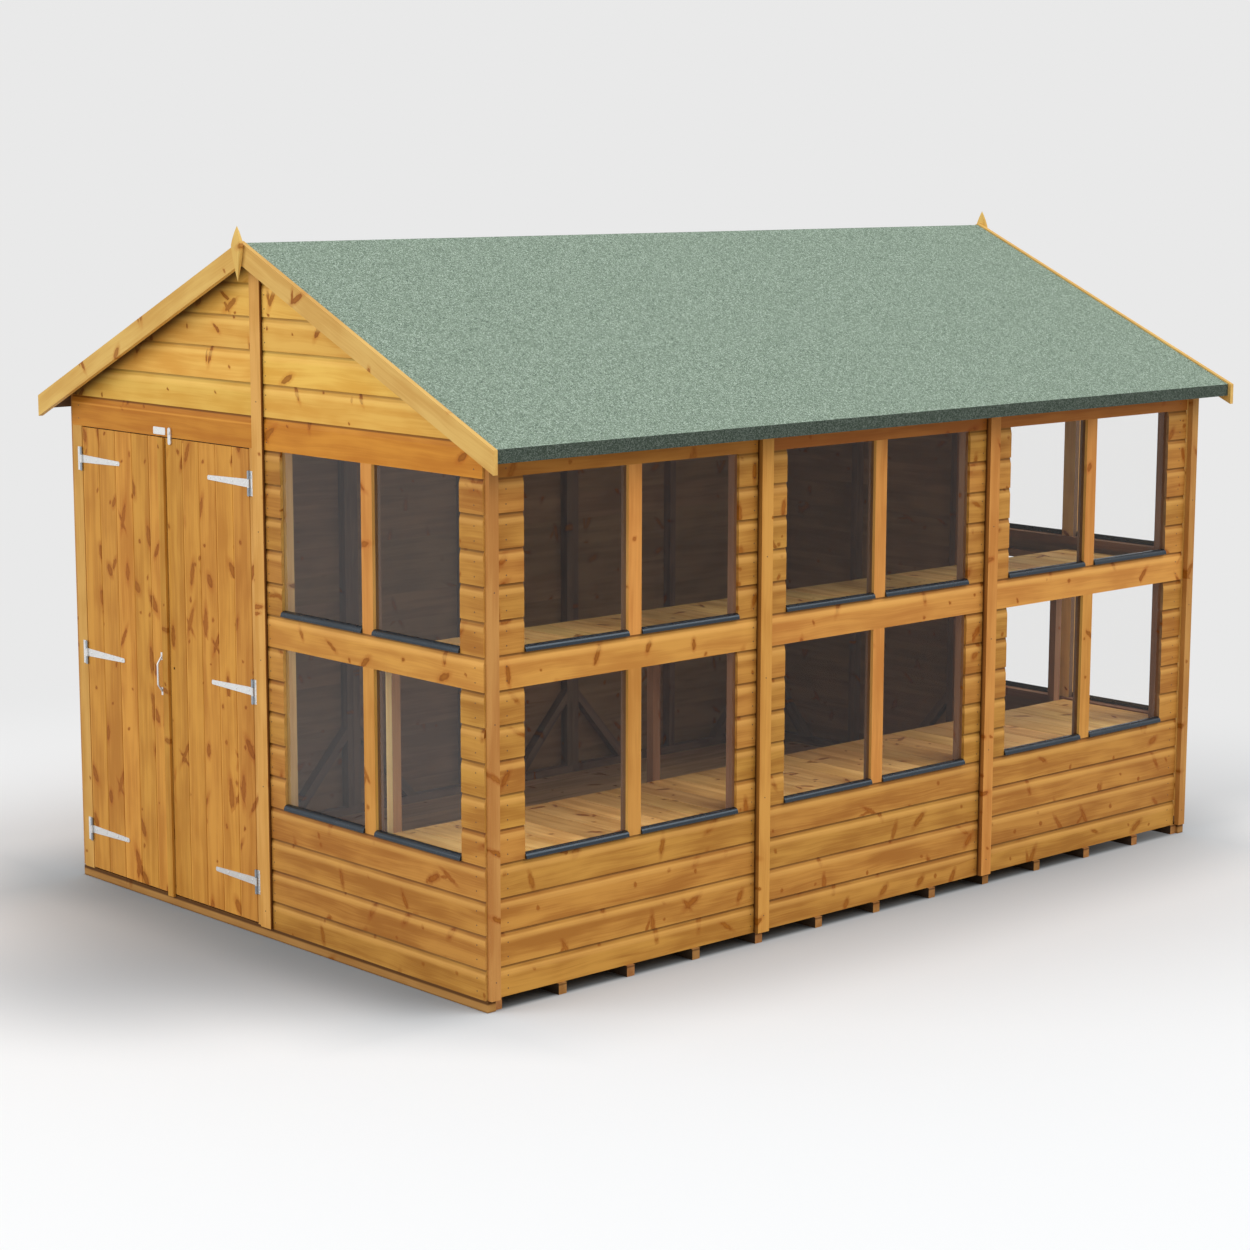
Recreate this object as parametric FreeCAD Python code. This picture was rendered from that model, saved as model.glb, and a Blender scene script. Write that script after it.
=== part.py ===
"""Apex potting shed: modular timber walls, glazed on one long side, double doors in the front gable.

Millimetres. Z is up, the ground is z = 0 and the origin is under the middle of the shed.
The doors face -Y, the glazed long side faces +X. Walls are made in their own frame,
x along the wall as seen from outside, y inwards from the cladding face, then turned into place.
"""
import FreeCAD
import Part
import math
import os

Vector = FreeCAD.Vector

# Wall modules
MODULE = 1180.0
SIDE_MODULES = 3
CLAD_T = 12.0
STUD_D = 41.0
STUD_W = 32.0

# Floor
JOIST_H = 38.0
JOIST_W = 34.0
JOIST_COUNT = 13
JOIST_REACH = 10.0
FLOOR_T = 12.0
FLOOR_BOARDS = 20

# Shiplap cladding, counted in courses from the ground up
COVER = 112.0
FIRST_COVER = 102.0
SCOOP_H = 24.0
SCOOP_D = 5.5
SILL_COURSES = 4
WINDOW_COURSES = 5

# Windows, two panes over two panes in each glazed module
WINDOW_MARGIN = 115.0
MULLION_W = 58.0
MULLION_D = 36.0
GLASS_T = 3.0
DRIP_H = 24.0
DRIP_LIP = 7.0
DRIP_REACH = 8.0

# Knee braces of the unglazed walls
BRACE_RISE = 330.0
BRACE_RUN = 290.0
BRACE_END = 50.0

# Roof
PITCH = 24.5
EAVE_STRIP = 28.0
FELT_T = 3.0
ROOF_BOARD_T = 12.0
EAVE_REACH = 114.0
FELT_FOLD = 45.0
GABLE_REACH = 47.0
FILLET_W = 28.0
RAFTER_D = 60.0
RAFTER_T = 35.0
GABLE_RAIL_D = 50.0
COLLAR_DROP = 296.0
COLLAR_H = 70.0
PURLIN_W = 45.0
PURLIN_D = 32.0
RIDGE_BEAM_W = 32.0
RIDGE_BEAM_D = 80.0

# Barge boards and finials
BARGE_T = 18.0
BARGE_W = 70.0
BARGE_REACH = 130.0
BARGE_RISE = 6.0
FINIAL_RISE = 57.0
FINIAL_LENGTH = 185.0
FINIAL_SHOULDER = 61.0
FINIAL_W = 54.0
FINIAL_T = 18.0

# Cover strips outside the wall joints
BATTEN_W = 54.0
BATTEN_T = 22.0
CORNER_TRIM_W = 38.0
TRIM_SETBACK = 8.0
TRIM_TOP_GAP = 8.0
GABLE_BATTEN_W = 58.0
GABLE_BATTEN_T = 11.0

# Doors
POST_W = 59.0
DOOR_GAP = 3.0
MEETING_SHIFT = 17.0
LEAF_T = 12.0
LEAF_BOARDS = 5
LEAF_GROOVE = 3.0
DOOR_FOOT_GAP = 6.0
DOOR_HEAD_GAP = 4.0
DOOR_STOP = 18.0
LEDGE_H = 95.0
LEDGE_T = 22.0
LEDGE_INSET = 30.0
DOOR_BRACE_W = 80.0
STRIP_W = 34.0
STRIP_T = 10.0
STRIP_DROP = 10.0

# Tee hinges: two near the ends of the leaf and one a little under the middle of those
HINGE_FOOT = 146.0
HINGE_HEAD = 117.0
HINGE_MIDDLE_DROP = 24.0
HINGE_T = 2.5
HINGE_BARREL_R = 5.0
HINGE_PIN_R = 2.5
PIN_CLEARANCE = 0.05
BARREL_STANDOFF = 0.5
HINGE_PLATE_H = 86.0
HINGE_PLATE_GAP = 4.5
HINGE_PLATE_RELIEF = 7.0
STRAP_ROOT_W = 29.0
STRAP_TIP_W = 16.0
STRAP_LENGTH = 250.0
KNUCKLE_GAP = 0.5
PIN_END = 1.5

# Pull handle on the left leaf, lock and turn button for the right leaf
HANDLE_DROP = 14.0
HANDLE_INSET = 14.0
HANDLE_BAR_R = 4.0
HANDLE_REACH = 25.0
HANDLE_SPREAD = 128.0
HANDLE_SLANT = 26.0
HANDLE_BEND_R = 12.0
HANDLE_FOOT_W = 15.0
HANDLE_FOOT_H = 28.0
HANDLE_FOOT_T = 3.0
KEY_RISE = 15.0
KEY_INSET = 23.0
KEY_R = 5.0
KEY_RECESS = 3.0
LOCK_W = 60.0
LOCK_H = 90.0
LOCK_T = 20.0
LOCK_EDGE = 4.0
BUTTON_INSET = 32.0
BUTTON_PIVOT_RISE = 15.0
BUTTON_W = 18.0
BUTTON_UP = 20.0
BUTTON_DOWN = 41.0
BUTTON_T = 5.0
BUTTON_LIFT = 0.5
BUTTON_SCREW_R = 2.5
BUTTON_HEAD_R = 5.0
BUTTON_HEAD_T = 2.5

# Two tier staging under the windows
STAGING_DEPTH = 520.0
STAGING_LEG_W = 36.0
STAGING_LEG_D = 32.0
STAGING_LEG_INSET = 29.0
STAGING_BEARER_H = 45.0
STAGING_BEARER_T = 28.0
SLAT_T = 16.0
SLATS_PER_MODULE = 10
SLAT_GAP = 4.0
UPPER_SHELF_LIFT = 62.0
LOWER_SHELF_DROP = 6.0

# Number of flats that stand for the round of a knuckle or the handle's bar
ROUND_SIDES = 12

# Planes that follow from the sizes above
WALL_T = CLAD_T + STUD_D
HALF_WIDTH = MODULE
SIDE_HALF = MODULE * SIDE_MODULES / 2
HALF_LENGTH = SIDE_HALF + WALL_T
INNER_X = HALF_WIDTH - WALL_T
CLAD_BOTTOM = JOIST_H
FLOOR_TOP = JOIST_H + FLOOR_T
SLOPE = math.tan(math.radians(PITCH))
SECANT = 1 / math.cos(math.radians(PITCH))
BOARD_TOP_DROP = FELT_T * SECANT
BOARD_UNDER_DROP = BOARD_TOP_DROP + ROOF_BOARD_T * SECANT
EAVE_X = HALF_WIDTH + EAVE_REACH
ROOF_HALF = HALF_LENGTH + GABLE_REACH
TURNS = {"front": 0, "right": 90, "rear": 180, "left": 270}


def course_top(course):
    """Height of the top of a cladding course."""
    return CLAD_BOTTOM + FIRST_COVER + COVER * course


LOWER_SILL = SILL_COURSES - 1
LOWER_HEAD = LOWER_SILL + WINDOW_COURSES
UPPER_SILL = LOWER_HEAD + 1
UPPER_HEAD = UPPER_SILL + WINDOW_COURSES
HEAD_Z = course_top(UPPER_HEAD)
PLATE_Z = course_top(UPPER_HEAD + 1)
RIDGE_Z = PLATE_Z + EAVE_STRIP + BOARD_UNDER_DROP + SLOPE * HALF_WIDTH


def roof_z(x, drop):
    """Height of the roof plane at a distance from the ridge, a drop below the felt."""
    return RIDGE_Z - drop - SLOPE * abs(x)


def box(x, y, z):
    """Box between pairs of coordinates."""
    return Part.makeBox(x[1] - x[0], y[1] - y[0], z[1] - z[0], Vector(x[0], y[0], z[0]))


def prism_x(outline, x):
    """Prism of a (y, z) outline along x."""
    points = [Vector(x[0], y, z) for y, z in outline]
    face = Part.Face(Part.makePolygon(points + points[:1]))
    return face.extrude(Vector(x[1] - x[0], 0, 0))


def prism_y(outline, y):
    """Prism of an (x, z) outline along y."""
    points = [Vector(x, y[0], z) for x, z in outline]
    face = Part.Face(Part.makePolygon(points + points[:1]))
    return face.extrude(Vector(0, y[1] - y[0], 0))


def mirrored(outline):
    """The (x, z) outline on the other side of the ridge."""
    return [(-x, z) for x, z in outline]


def on_wall(solids, wall):
    """Turn solids from the wall's own frame to their wall of the shed."""
    distance = HALF_LENGTH if wall in ("front", "rear") else HALF_WIDTH
    placed = []
    for solid in solids:
        moved = solid.copy()
        moved.translate(Vector(0, -distance, 0))
        moved.rotate(Vector(0, 0, 0), Vector(0, 0, 1), TURNS[wall])
        placed.append(moved)
    return placed


def write(name, solids):
    """Write one sub-part as its separate solids."""
    Part.makeCompound(solids).exportStep(f"parts/{name}.step")


def clad_board(x, course):
    """One shiplap board with its scooped top edge, worked as a bevel."""
    low = CLAD_BOTTOM if course == 0 else course_top(course - 1)
    high = course_top(course)
    outline = [(CLAD_T, low), (0, low), (0, high - SCOOP_H), (SCOOP_D, high), (CLAD_T, high)]
    return prism_x(outline, x)


def opening(left):
    """Left and right edge of the window opening of a module."""
    return left + WINDOW_MARGIN, left + MODULE - WINDOW_MARGIN


def mullion(left):
    """Left and right edge of the mullion of a module."""
    middle = left + MODULE / 2
    return middle - MULLION_W / 2, middle + MULLION_W / 2


def solid_boards(left):
    """Courses of an unglazed module up to the top of the head board."""
    return [clad_board((left, left + MODULE), course) for course in range(UPPER_HEAD + 2)]


def window_boards(left):
    """Courses of a glazed module, cut short beside its panes."""
    first, last = opening(left)
    boards = []
    for course in range(UPPER_HEAD + 2):
        beside_lower = LOWER_SILL < course <= LOWER_HEAD
        beside_upper = UPPER_SILL < course <= UPPER_HEAD
        if beside_lower or beside_upper:
            boards.append(clad_board((left, first), course))
            boards.append(clad_board((last, left + MODULE), course))
        else:
            boards.append(clad_board((left, left + MODULE), course))
    return boards


def eave_board(left):
    """Plain strip that closes the top of a side module under the roof boards."""
    return box((left, left + MODULE), (0, CLAD_T), (PLATE_Z, PLATE_Z + EAVE_STRIP))


def half_gable(side, y):
    """Space over the head board in one half gable, up to the roof boards; side is -1 or 1."""
    outline = [(0, PLATE_Z), (HALF_WIDTH, PLATE_Z), (HALF_WIDTH, PLATE_Z + EAVE_STRIP),
               (0, roof_z(0, BOARD_UNDER_DROP))]
    return prism_y(outline if side > 0 else mirrored(outline), y)


def gable_boards(side):
    """Courses above the head board in one half gable, cut to the roof slope; side is -1 or 1."""
    gable = half_gable(side, (0, CLAD_T))
    span = (0, HALF_WIDTH) if side > 0 else (-HALF_WIDTH, 0)
    boards = []
    course = UPPER_HEAD + 2
    while course_top(course - 1) + COVER / 2 < roof_z(0, BOARD_UNDER_DROP):
        boards.append(clad_board(span, course).common(gable).Solids[0])
        course += 1
    return boards


STUD_Y = (CLAD_T, WALL_T)


def base_frame(left):
    """Bottom rail and end studs of a module."""
    right = left + MODULE
    rail_top = FLOOR_TOP + STUD_W
    return [
        box((left, right), STUD_Y, (FLOOR_TOP, rail_top)),
        box((left, left + STUD_W), STUD_Y, (rail_top, PLATE_Z)),
        box((right - STUD_W, right), STUD_Y, (rail_top, PLATE_Z)),
    ]


def window_frame(left):
    """Studs, rails and mullions round the panes of a glazed module."""
    first, last = opening(left)
    rail_top = FLOOR_TOP + STUD_W
    lower_sill = course_top(LOWER_SILL)
    lower_head = course_top(LOWER_HEAD)
    upper_sill = course_top(UPPER_SILL)
    middle = left + MODULE / 2
    members = base_frame(left)
    members.append(box((first - STUD_W, first), STUD_Y, (rail_top, PLATE_Z)))
    members.append(box((last, last + STUD_W), STUD_Y, (rail_top, PLATE_Z)))
    for low in (lower_sill - STUD_W, lower_head, upper_sill - STUD_W, HEAD_Z):
        members.append(box((first, last), STUD_Y, (low, low + STUD_W)))
    for span in ((lower_sill, lower_head), (upper_sill, HEAD_Z)):
        members.append(box(mullion(left), (0, MULLION_D), span))
    half = STUD_W / 2
    members.append(box((middle - half, middle + half), STUD_Y, (rail_top, lower_sill - STUD_W)))
    return members


def solid_frame(left):
    """Studs of an unglazed module, with a knee brace from each end stud to the bottom rail."""
    right = left + MODULE
    middle = left + MODULE / 2
    half = STUD_W / 2
    foot = FLOOR_TOP + STUD_W
    members = base_frame(left)
    members.append(box((middle - half, middle + half), STUD_Y, (foot, PLATE_Z)))
    for start, run in ((left + STUD_W, 1), (right - STUD_W, -1)):
        outline = [(start, foot + BRACE_RISE), (start, foot + BRACE_RISE - BRACE_END),
                   (start + run * (BRACE_RUN - BRACE_END), foot), (start + run * BRACE_RUN, foot)]
        members.append(prism_y(outline, STUD_Y))
    return members


def side_plate(left):
    """Top plate of a side module, planed to the roof slope."""
    outer = HALF_WIDTH - CLAD_T
    outline = [(CLAD_T, PLATE_Z), (WALL_T, PLATE_Z), (WALL_T, roof_z(INNER_X, BOARD_UNDER_DROP)),
               (CLAD_T, roof_z(outer, BOARD_UNDER_DROP))]
    return prism_x(outline, (left, left + MODULE))


def gable_top(side):
    """Tie, sloping rail and studs over the head of one half gable; side is -1 or 1."""
    tie_top = PLATE_Z + STUD_W
    rim = HALF_WIDTH
    under = BOARD_UNDER_DROP + GABLE_RAIL_D
    span = (0, rim) if side > 0 else (-rim, 0)
    lower_part = box(span, STUD_Y, (PLATE_Z, tie_top))
    gable = half_gable(side, STUD_Y)
    below_rail = [(0, 0), (rim, 0), (rim, roof_z(rim, under)), (0, roof_z(0, under))]
    inside = prism_y(below_rail if side > 0 else mirrored(below_rail), STUD_Y)
    tie = gable.common(lower_part).Solids[0]
    rail = gable.cut(lower_part).cut(inside).Solids[0]
    members = [tie, rail]
    for start in (0, MODULE / 2 - STUD_W / 2):
        end = start + STUD_W
        stud = [(start, tie_top), (end, tie_top), (end, roof_z(end, under)), (start, roof_z(start, under))]
        members.append(prism_y(stud if side > 0 else mirrored(stud), STUD_Y))
    return members


def window_panes(left):
    """Four panes of one glazed module, standing on the rails against the studs and mullions."""
    first, last = opening(left)
    inner_left, inner_right = mullion(left)
    glass_y = (CLAD_T, CLAD_T + GLASS_T)
    panes = []
    for span in ((course_top(LOWER_SILL), course_top(LOWER_HEAD)), (course_top(UPPER_SILL), HEAD_Z)):
        panes.append(box((first, inner_left), glass_y, span))
        panes.append(box((inner_right, last), glass_y, span))
    return panes


def drip_strips(left):
    """Dark drip strips at the foot of the four panes of one glazed module."""
    first, last = opening(left)
    inner_left, inner_right = mullion(left)
    strips = []
    for low in (course_top(LOWER_SILL), course_top(UPPER_SILL)):
        outline = [(CLAD_T, low), (-DRIP_REACH, low), (-DRIP_REACH, low + DRIP_LIP), (CLAD_T, low + DRIP_H)]
        strips.append(prism_x(outline, (first, inner_left)))
        strips.append(prism_x(outline, (inner_right, last)))
    return strips


def make_floor():
    """Joists across the shed, doubled at both ends, and the boards on them."""
    joist_x = (-HALF_WIDTH - JOIST_REACH, HALF_WIDTH + JOIST_REACH)
    pitch = (2 * HALF_LENGTH - JOIST_W) / (JOIST_COUNT - 1)
    fronts = [-HALF_LENGTH + pitch * index for index in range(JOIST_COUNT)]
    joists = [box(joist_x, (front, front + JOIST_W), (0, JOIST_H)) for front in fronts]
    inner_x = (-HALF_WIDTH, HALF_WIDTH)
    for front in (-HALF_LENGTH + JOIST_W, HALF_LENGTH - 2 * JOIST_W):
        joists.append(box(inner_x, (front, front + JOIST_W), (0, JOIST_H)))
    half = HALF_WIDTH - CLAD_T
    width = 2 * half / FLOOR_BOARDS
    floor_y = (-HALF_LENGTH + CLAD_T, HALF_LENGTH - CLAD_T)
    boards = []
    for index in range(FLOOR_BOARDS):
        low = -half + width * index
        boards.append(box((low, low + width), floor_y, (JOIST_H, FLOOR_TOP)))
    write("floor_joists", joists)
    write("floor_boards", boards)


def make_side_walls():
    """Glazed right wall and solid left wall, three modules each."""
    places = ("front", "middle", "rear")
    drips = []
    for index, place in enumerate(places):
        left = -SIDE_HALF + MODULE * index
        name = f"right_{place}"
        write(f"{name}_frame", on_wall(window_frame(left) + [side_plate(left)], "right"))
        write(f"{name}_cladding", on_wall(window_boards(left) + [eave_board(left)], "right"))
        write(f"{name}_panes", on_wall(window_panes(left), "right"))
        drips += on_wall(drip_strips(left), "right")
    for index, place in enumerate(reversed(places)):
        left = -SIDE_HALF + MODULE * index
        name = f"left_{place}"
        write(f"{name}_frame", on_wall(solid_frame(left) + [side_plate(left)], "left"))
        write(f"{name}_cladding", on_wall(solid_boards(left) + [eave_board(left)], "left"))
    return drips


def make_gables():
    """Front gable with its window half, rear gable with a window half and a solid half."""
    write("front_window_frame", on_wall(window_frame(0) + gable_top(1), "front"))
    write("front_window_cladding", on_wall(window_boards(0) + gable_boards(1), "front"))
    write("front_window_panes", on_wall(window_panes(0), "front"))
    write("rear_window_frame", on_wall(window_frame(-MODULE) + gable_top(-1), "rear"))
    write("rear_window_cladding", on_wall(window_boards(-MODULE) + gable_boards(-1), "rear"))
    write("rear_window_panes", on_wall(window_panes(-MODULE), "rear"))
    write("rear_solid_frame", on_wall(solid_frame(0) + gable_top(1), "rear"))
    write("rear_solid_cladding", on_wall(solid_boards(0) + gable_boards(1), "rear"))
    return on_wall(drip_strips(0), "front") + on_wall(drip_strips(-MODULE), "rear")


DOOR_LEFT = -HALF_WIDTH + POST_W
DOOR_RIGHT = -POST_W
DOOR_BOTTOM = CLAD_BOTTOM + DOOR_FOOT_GAP
DOOR_TOP = HEAD_Z - DOOR_HEAD_GAP
MEETING_X = (DOOR_LEFT + DOOR_RIGHT) / 2 + MEETING_SHIFT
LEAVES = {
    "left": (DOOR_LEFT + DOOR_GAP, MEETING_X - DOOR_GAP / 2),
    "right": (MEETING_X + DOOR_GAP / 2, DOOR_RIGHT - DOOR_GAP),
}
FACE_Y = -HALF_LENGTH
AXIS_Y = FACE_Y - HINGE_BARREL_R - BARREL_STANDOFF
AXIS_X = {"left": DOOR_LEFT + DOOR_GAP / 2, "right": DOOR_RIGHT - DOOR_GAP / 2}
HINGE_PLATE_W = -AXIS_X["right"] - GABLE_BATTEN_W / 2 - HINGE_PLATE_GAP
FOOT_HINGE_Z = DOOR_BOTTOM + HINGE_FOOT
HEAD_HINGE_Z = DOOR_TOP - HINGE_HEAD
MIDDLE_HINGE_Z = (FOOT_HINGE_Z + HEAD_HINGE_Z) / 2 - HINGE_MIDDLE_DROP
HINGE_ZS = (FOOT_HINGE_Z, MIDDLE_HINGE_Z, HEAD_HINGE_Z)
HANDLE_Z = MIDDLE_HINGE_Z - HANDLE_DROP
KEY_Z = MIDDLE_HINGE_Z + KEY_RISE


def make_doorway():
    """Posts, lintel and gable over the doors, with their facings and head board."""
    left_post = (-HALF_WIDTH, DOOR_LEFT)
    right_post = (DOOR_RIGHT, 0)
    frame = [box(left_post, STUD_Y, (FLOOR_TOP, PLATE_Z)), box(right_post, STUD_Y, (FLOOR_TOP, PLATE_Z))]
    frame.append(box((DOOR_LEFT, DOOR_RIGHT), STUD_Y, (DOOR_TOP - DOOR_STOP, HEAD_Z + STUD_W)))
    facing_z = (CLAD_BOTTOM, HEAD_Z)
    facings = [box(left_post, (0, CLAD_T), facing_z), box(right_post, (0, CLAD_T), facing_z)]
    facings.append(clad_board((-HALF_WIDTH, 0), UPPER_HEAD + 1))
    write("front_door_frame", on_wall(frame + gable_top(-1), "front"))
    write("front_door_cladding", on_wall(facings + gable_boards(-1), "front"))


def leaf_boards(leaf):
    """Upright boards of a leaf with vee grooves between them."""
    low, high = LEAVES[leaf]
    width = (high - low) / LEAF_BOARDS
    face = FACE_Y
    back = FACE_Y + LEAF_T
    boards = []
    for index in range(LEAF_BOARDS):
        start = low + width * index
        end = start + width
        outline = [(start, back), (start, face + LEAF_GROOVE), (start + LEAF_GROOVE, face),
                   (end - LEAF_GROOVE, face), (end, face + LEAF_GROOVE), (end, back)]
        points = [Vector(x, y, DOOR_BOTTOM) for x, y in outline]
        section = Part.Face(Part.makePolygon(points + points[:1]))
        boards.append(section.extrude(Vector(0, 0, DOOR_TOP - DOOR_BOTTOM)))
    return boards


def leaf_ledges(leaf):
    """Three ledges behind the hinges and two braces that rise from the hinge side."""
    low, high = LEAVES[leaf]
    x = (low + LEDGE_INSET, high - LEDGE_INSET)
    y = (FACE_Y + LEAF_T, FACE_Y + LEAF_T + LEDGE_T)
    solids = []
    for centre in HINGE_ZS:
        at_lock = leaf == "right" and centre == MIDDLE_HINGE_Z
        start = low + LOCK_EDGE + LOCK_W + LOCK_EDGE if at_lock else x[0]
        solids.append(box((start, x[1]), y, (centre - LEDGE_H / 2, centre + LEDGE_H / 2)))
    for below, above in zip(HINGE_ZS, HINGE_ZS[1:]):
        foot = below + LEDGE_H / 2
        head = above - LEDGE_H / 2
        outline = [(x[0], foot), (x[0] + DOOR_BRACE_W, foot), (x[1], head), (x[1] - DOOR_BRACE_W, head)]
        if leaf == "right":
            outline = [(x[0] + x[1] - place, z) for place, z in outline]
        solids.append(prism_y(outline, y))
    return solids


def upright_cylinder(x, y, radius, z):
    """Cylinder about a vertical axis between two heights."""
    return Part.makeCylinder(radius, z[1] - z[0], Vector(x, y, z[0]), Vector(0, 0, 1))


def round_section(centre, radius, across, along):
    """Closed outline of a round bar or knuckle, drawn with flats."""
    points = []
    for index in range(ROUND_SIDES):
        angle = 2 * math.pi * index / ROUND_SIDES
        points.append(centre + across * (radius * math.cos(angle)) + along * (radius * math.sin(angle)))
    return Part.makePolygon(points + points[:1])


def knuckle(leaf, z):
    """Outside of a hinge knuckle between two heights."""
    centre = Vector(AXIS_X[leaf], AXIS_Y, z[0])
    outline = round_section(centre, HINGE_BARREL_R, Vector(1, 0, 0), Vector(0, 1, 0))
    return Part.Face(outline).extrude(Vector(0, 0, z[1] - z[0]))


def hinge_strap(leaf, centre):
    """Moving half of a tee hinge: the tapered strap and its middle knuckle."""
    axis_x = AXIS_X[leaf]
    way = 1 if leaf == "left" else -1
    root = STRAP_ROOT_W / 2
    tip = STRAP_TIP_W / 2
    end = STRAP_LENGTH
    corner = end - tip / 2
    outline = [(0, -root), (0, root), (corner, tip), (end, tip / 2), (end, -tip / 2), (corner, -tip)]
    flat = prism_y([(axis_x + way * x, centre + z) for x, z in outline], (FACE_Y - HINGE_T, FACE_Y))
    z = (centre - root, centre + root)
    bore = upright_cylinder(axis_x, AXIS_Y, HINGE_PIN_R + PIN_CLEARANCE, z)
    return flat.fuse(knuckle(leaf, z)).removeSplitter().cut(bore).Solids[0]


def hinge_plate(leaf, centre):
    """Fixed half of a tee hinge: the upright plate on the post and its two outer knuckles."""
    axis_x = AXIS_X[leaf]
    way = -1 if leaf == "left" else 1
    half = HINGE_PLATE_H / 2
    inner = STRAP_ROOT_W / 2 + KNUCKLE_GAP
    relief = HINGE_PLATE_RELIEF
    outline = [(0, half), (HINGE_PLATE_W, half), (HINGE_PLATE_W, -half), (0, -half), (0, -inner),
               (relief, -inner), (relief, inner), (0, inner)]
    plate = prism_y([(axis_x + way * x, centre + z) for x, z in outline], (FACE_Y - HINGE_T, FACE_Y))
    for z in ((centre + inner, centre + half), (centre - half, centre - inner)):
        plate = plate.fuse(knuckle(leaf, z))
    bore = upright_cylinder(axis_x, AXIS_Y, HINGE_PIN_R + PIN_CLEARANCE, (centre - half, centre + half))
    return plate.removeSplitter().cut(bore).Solids[0]


def hinge_pin(leaf, centre):
    """Pin through the three knuckles, standing a little past both ends."""
    half = HINGE_PLATE_H / 2 + PIN_END
    return upright_cylinder(AXIS_X[leaf], AXIS_Y, HINGE_PIN_R, (centre - half, centre + half))


def pull_handle(x):
    """Bow handle: a round bar bent out from two small feet."""
    rim = FACE_Y - HANDLE_FOOT_T
    out = FACE_Y - HANDLE_REACH + HANDLE_BAR_R
    high = HANDLE_SPREAD / 2
    bend = high - HANDLE_SLANT
    corners = [Vector(x, rim, HANDLE_Z + high), Vector(x, out, HANDLE_Z + bend),
               Vector(x, out, HANDLE_Z - bend), Vector(x, rim, HANDLE_Z - high)]
    edges = []
    start = corners[0]
    for before, corner, after in zip(corners, corners[1:], corners[2:]):
        into = (corner - before).normalize()
        onward = (after - corner).normalize()
        half_turn = into.getAngle(onward) / 2
        inset = HANDLE_BEND_R * math.tan(half_turn)
        first = corner - into * inset
        last = corner + onward * inset
        inward = (onward - into).normalize()
        middle = corner + inward * (HANDLE_BEND_R / math.cos(half_turn) - HANDLE_BEND_R)
        edges.append(Part.LineSegment(start, first).toShape())
        edges.append(Part.Arc(first, middle, last).toShape())
        start = last
    edges.append(Part.LineSegment(start, corners[-1]).toShape())
    path = Part.Wire(edges)
    heading = (corners[1] - corners[0]).normalize()
    across = Vector(1, 0, 0)
    section = round_section(corners[0], HANDLE_BAR_R, across, heading.cross(across))
    handle = path.makePipeShell([section], True, True)
    foot_x = (x - HANDLE_FOOT_W / 2, x + HANDLE_FOOT_W / 2)
    for centre in (HANDLE_Z + high, HANDLE_Z - high):
        foot_z = (centre - HANDLE_FOOT_H / 2, centre + HANDLE_FOOT_H / 2)
        handle = handle.fuse(box(foot_x, (FACE_Y - HANDLE_FOOT_T, FACE_Y), foot_z))
    behind = box((x - MODULE, x + MODULE), (FACE_Y, FACE_Y + WALL_T), (0, RIDGE_Z))
    return handle.cut(behind).Solids[0]


def along_y(x, z, radius, y):
    """Cylinder about an axis along y."""
    return Part.makeCylinder(radius, y[1] - y[0], Vector(x, y[0], z), Vector(0, 1, 0))


def turn_button(x, z):
    """Flat turn button with rounded ends and a pivot hole, pointing down over the right leaf."""
    back = FACE_Y - BUTTON_LIFT
    span = (back - BUTTON_T, back)
    radius = BUTTON_W / 2
    up = z + BUTTON_UP - radius
    down = z - BUTTON_DOWN + radius
    body = box((x - radius, x + radius), span, (down, up))
    for centre in (up, down):
        body = body.fuse(along_y(x, centre, radius, span))
    bore = along_y(x, z, BUTTON_SCREW_R + PIN_CLEARANCE, span)
    return body.removeSplitter().cut(bore).Solids[0]


def button_screw(x, z):
    """Pivot screw of the turn button, standing on the head board."""
    front = FACE_Y - BUTTON_LIFT - BUTTON_T - BUTTON_LIFT
    shank = along_y(x, z, BUTTON_SCREW_R, (front, FACE_Y))
    head = along_y(x, z, BUTTON_HEAD_R, (front - BUTTON_HEAD_T, front))
    return shank.fuse(head).removeSplitter().Solids[0]


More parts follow.
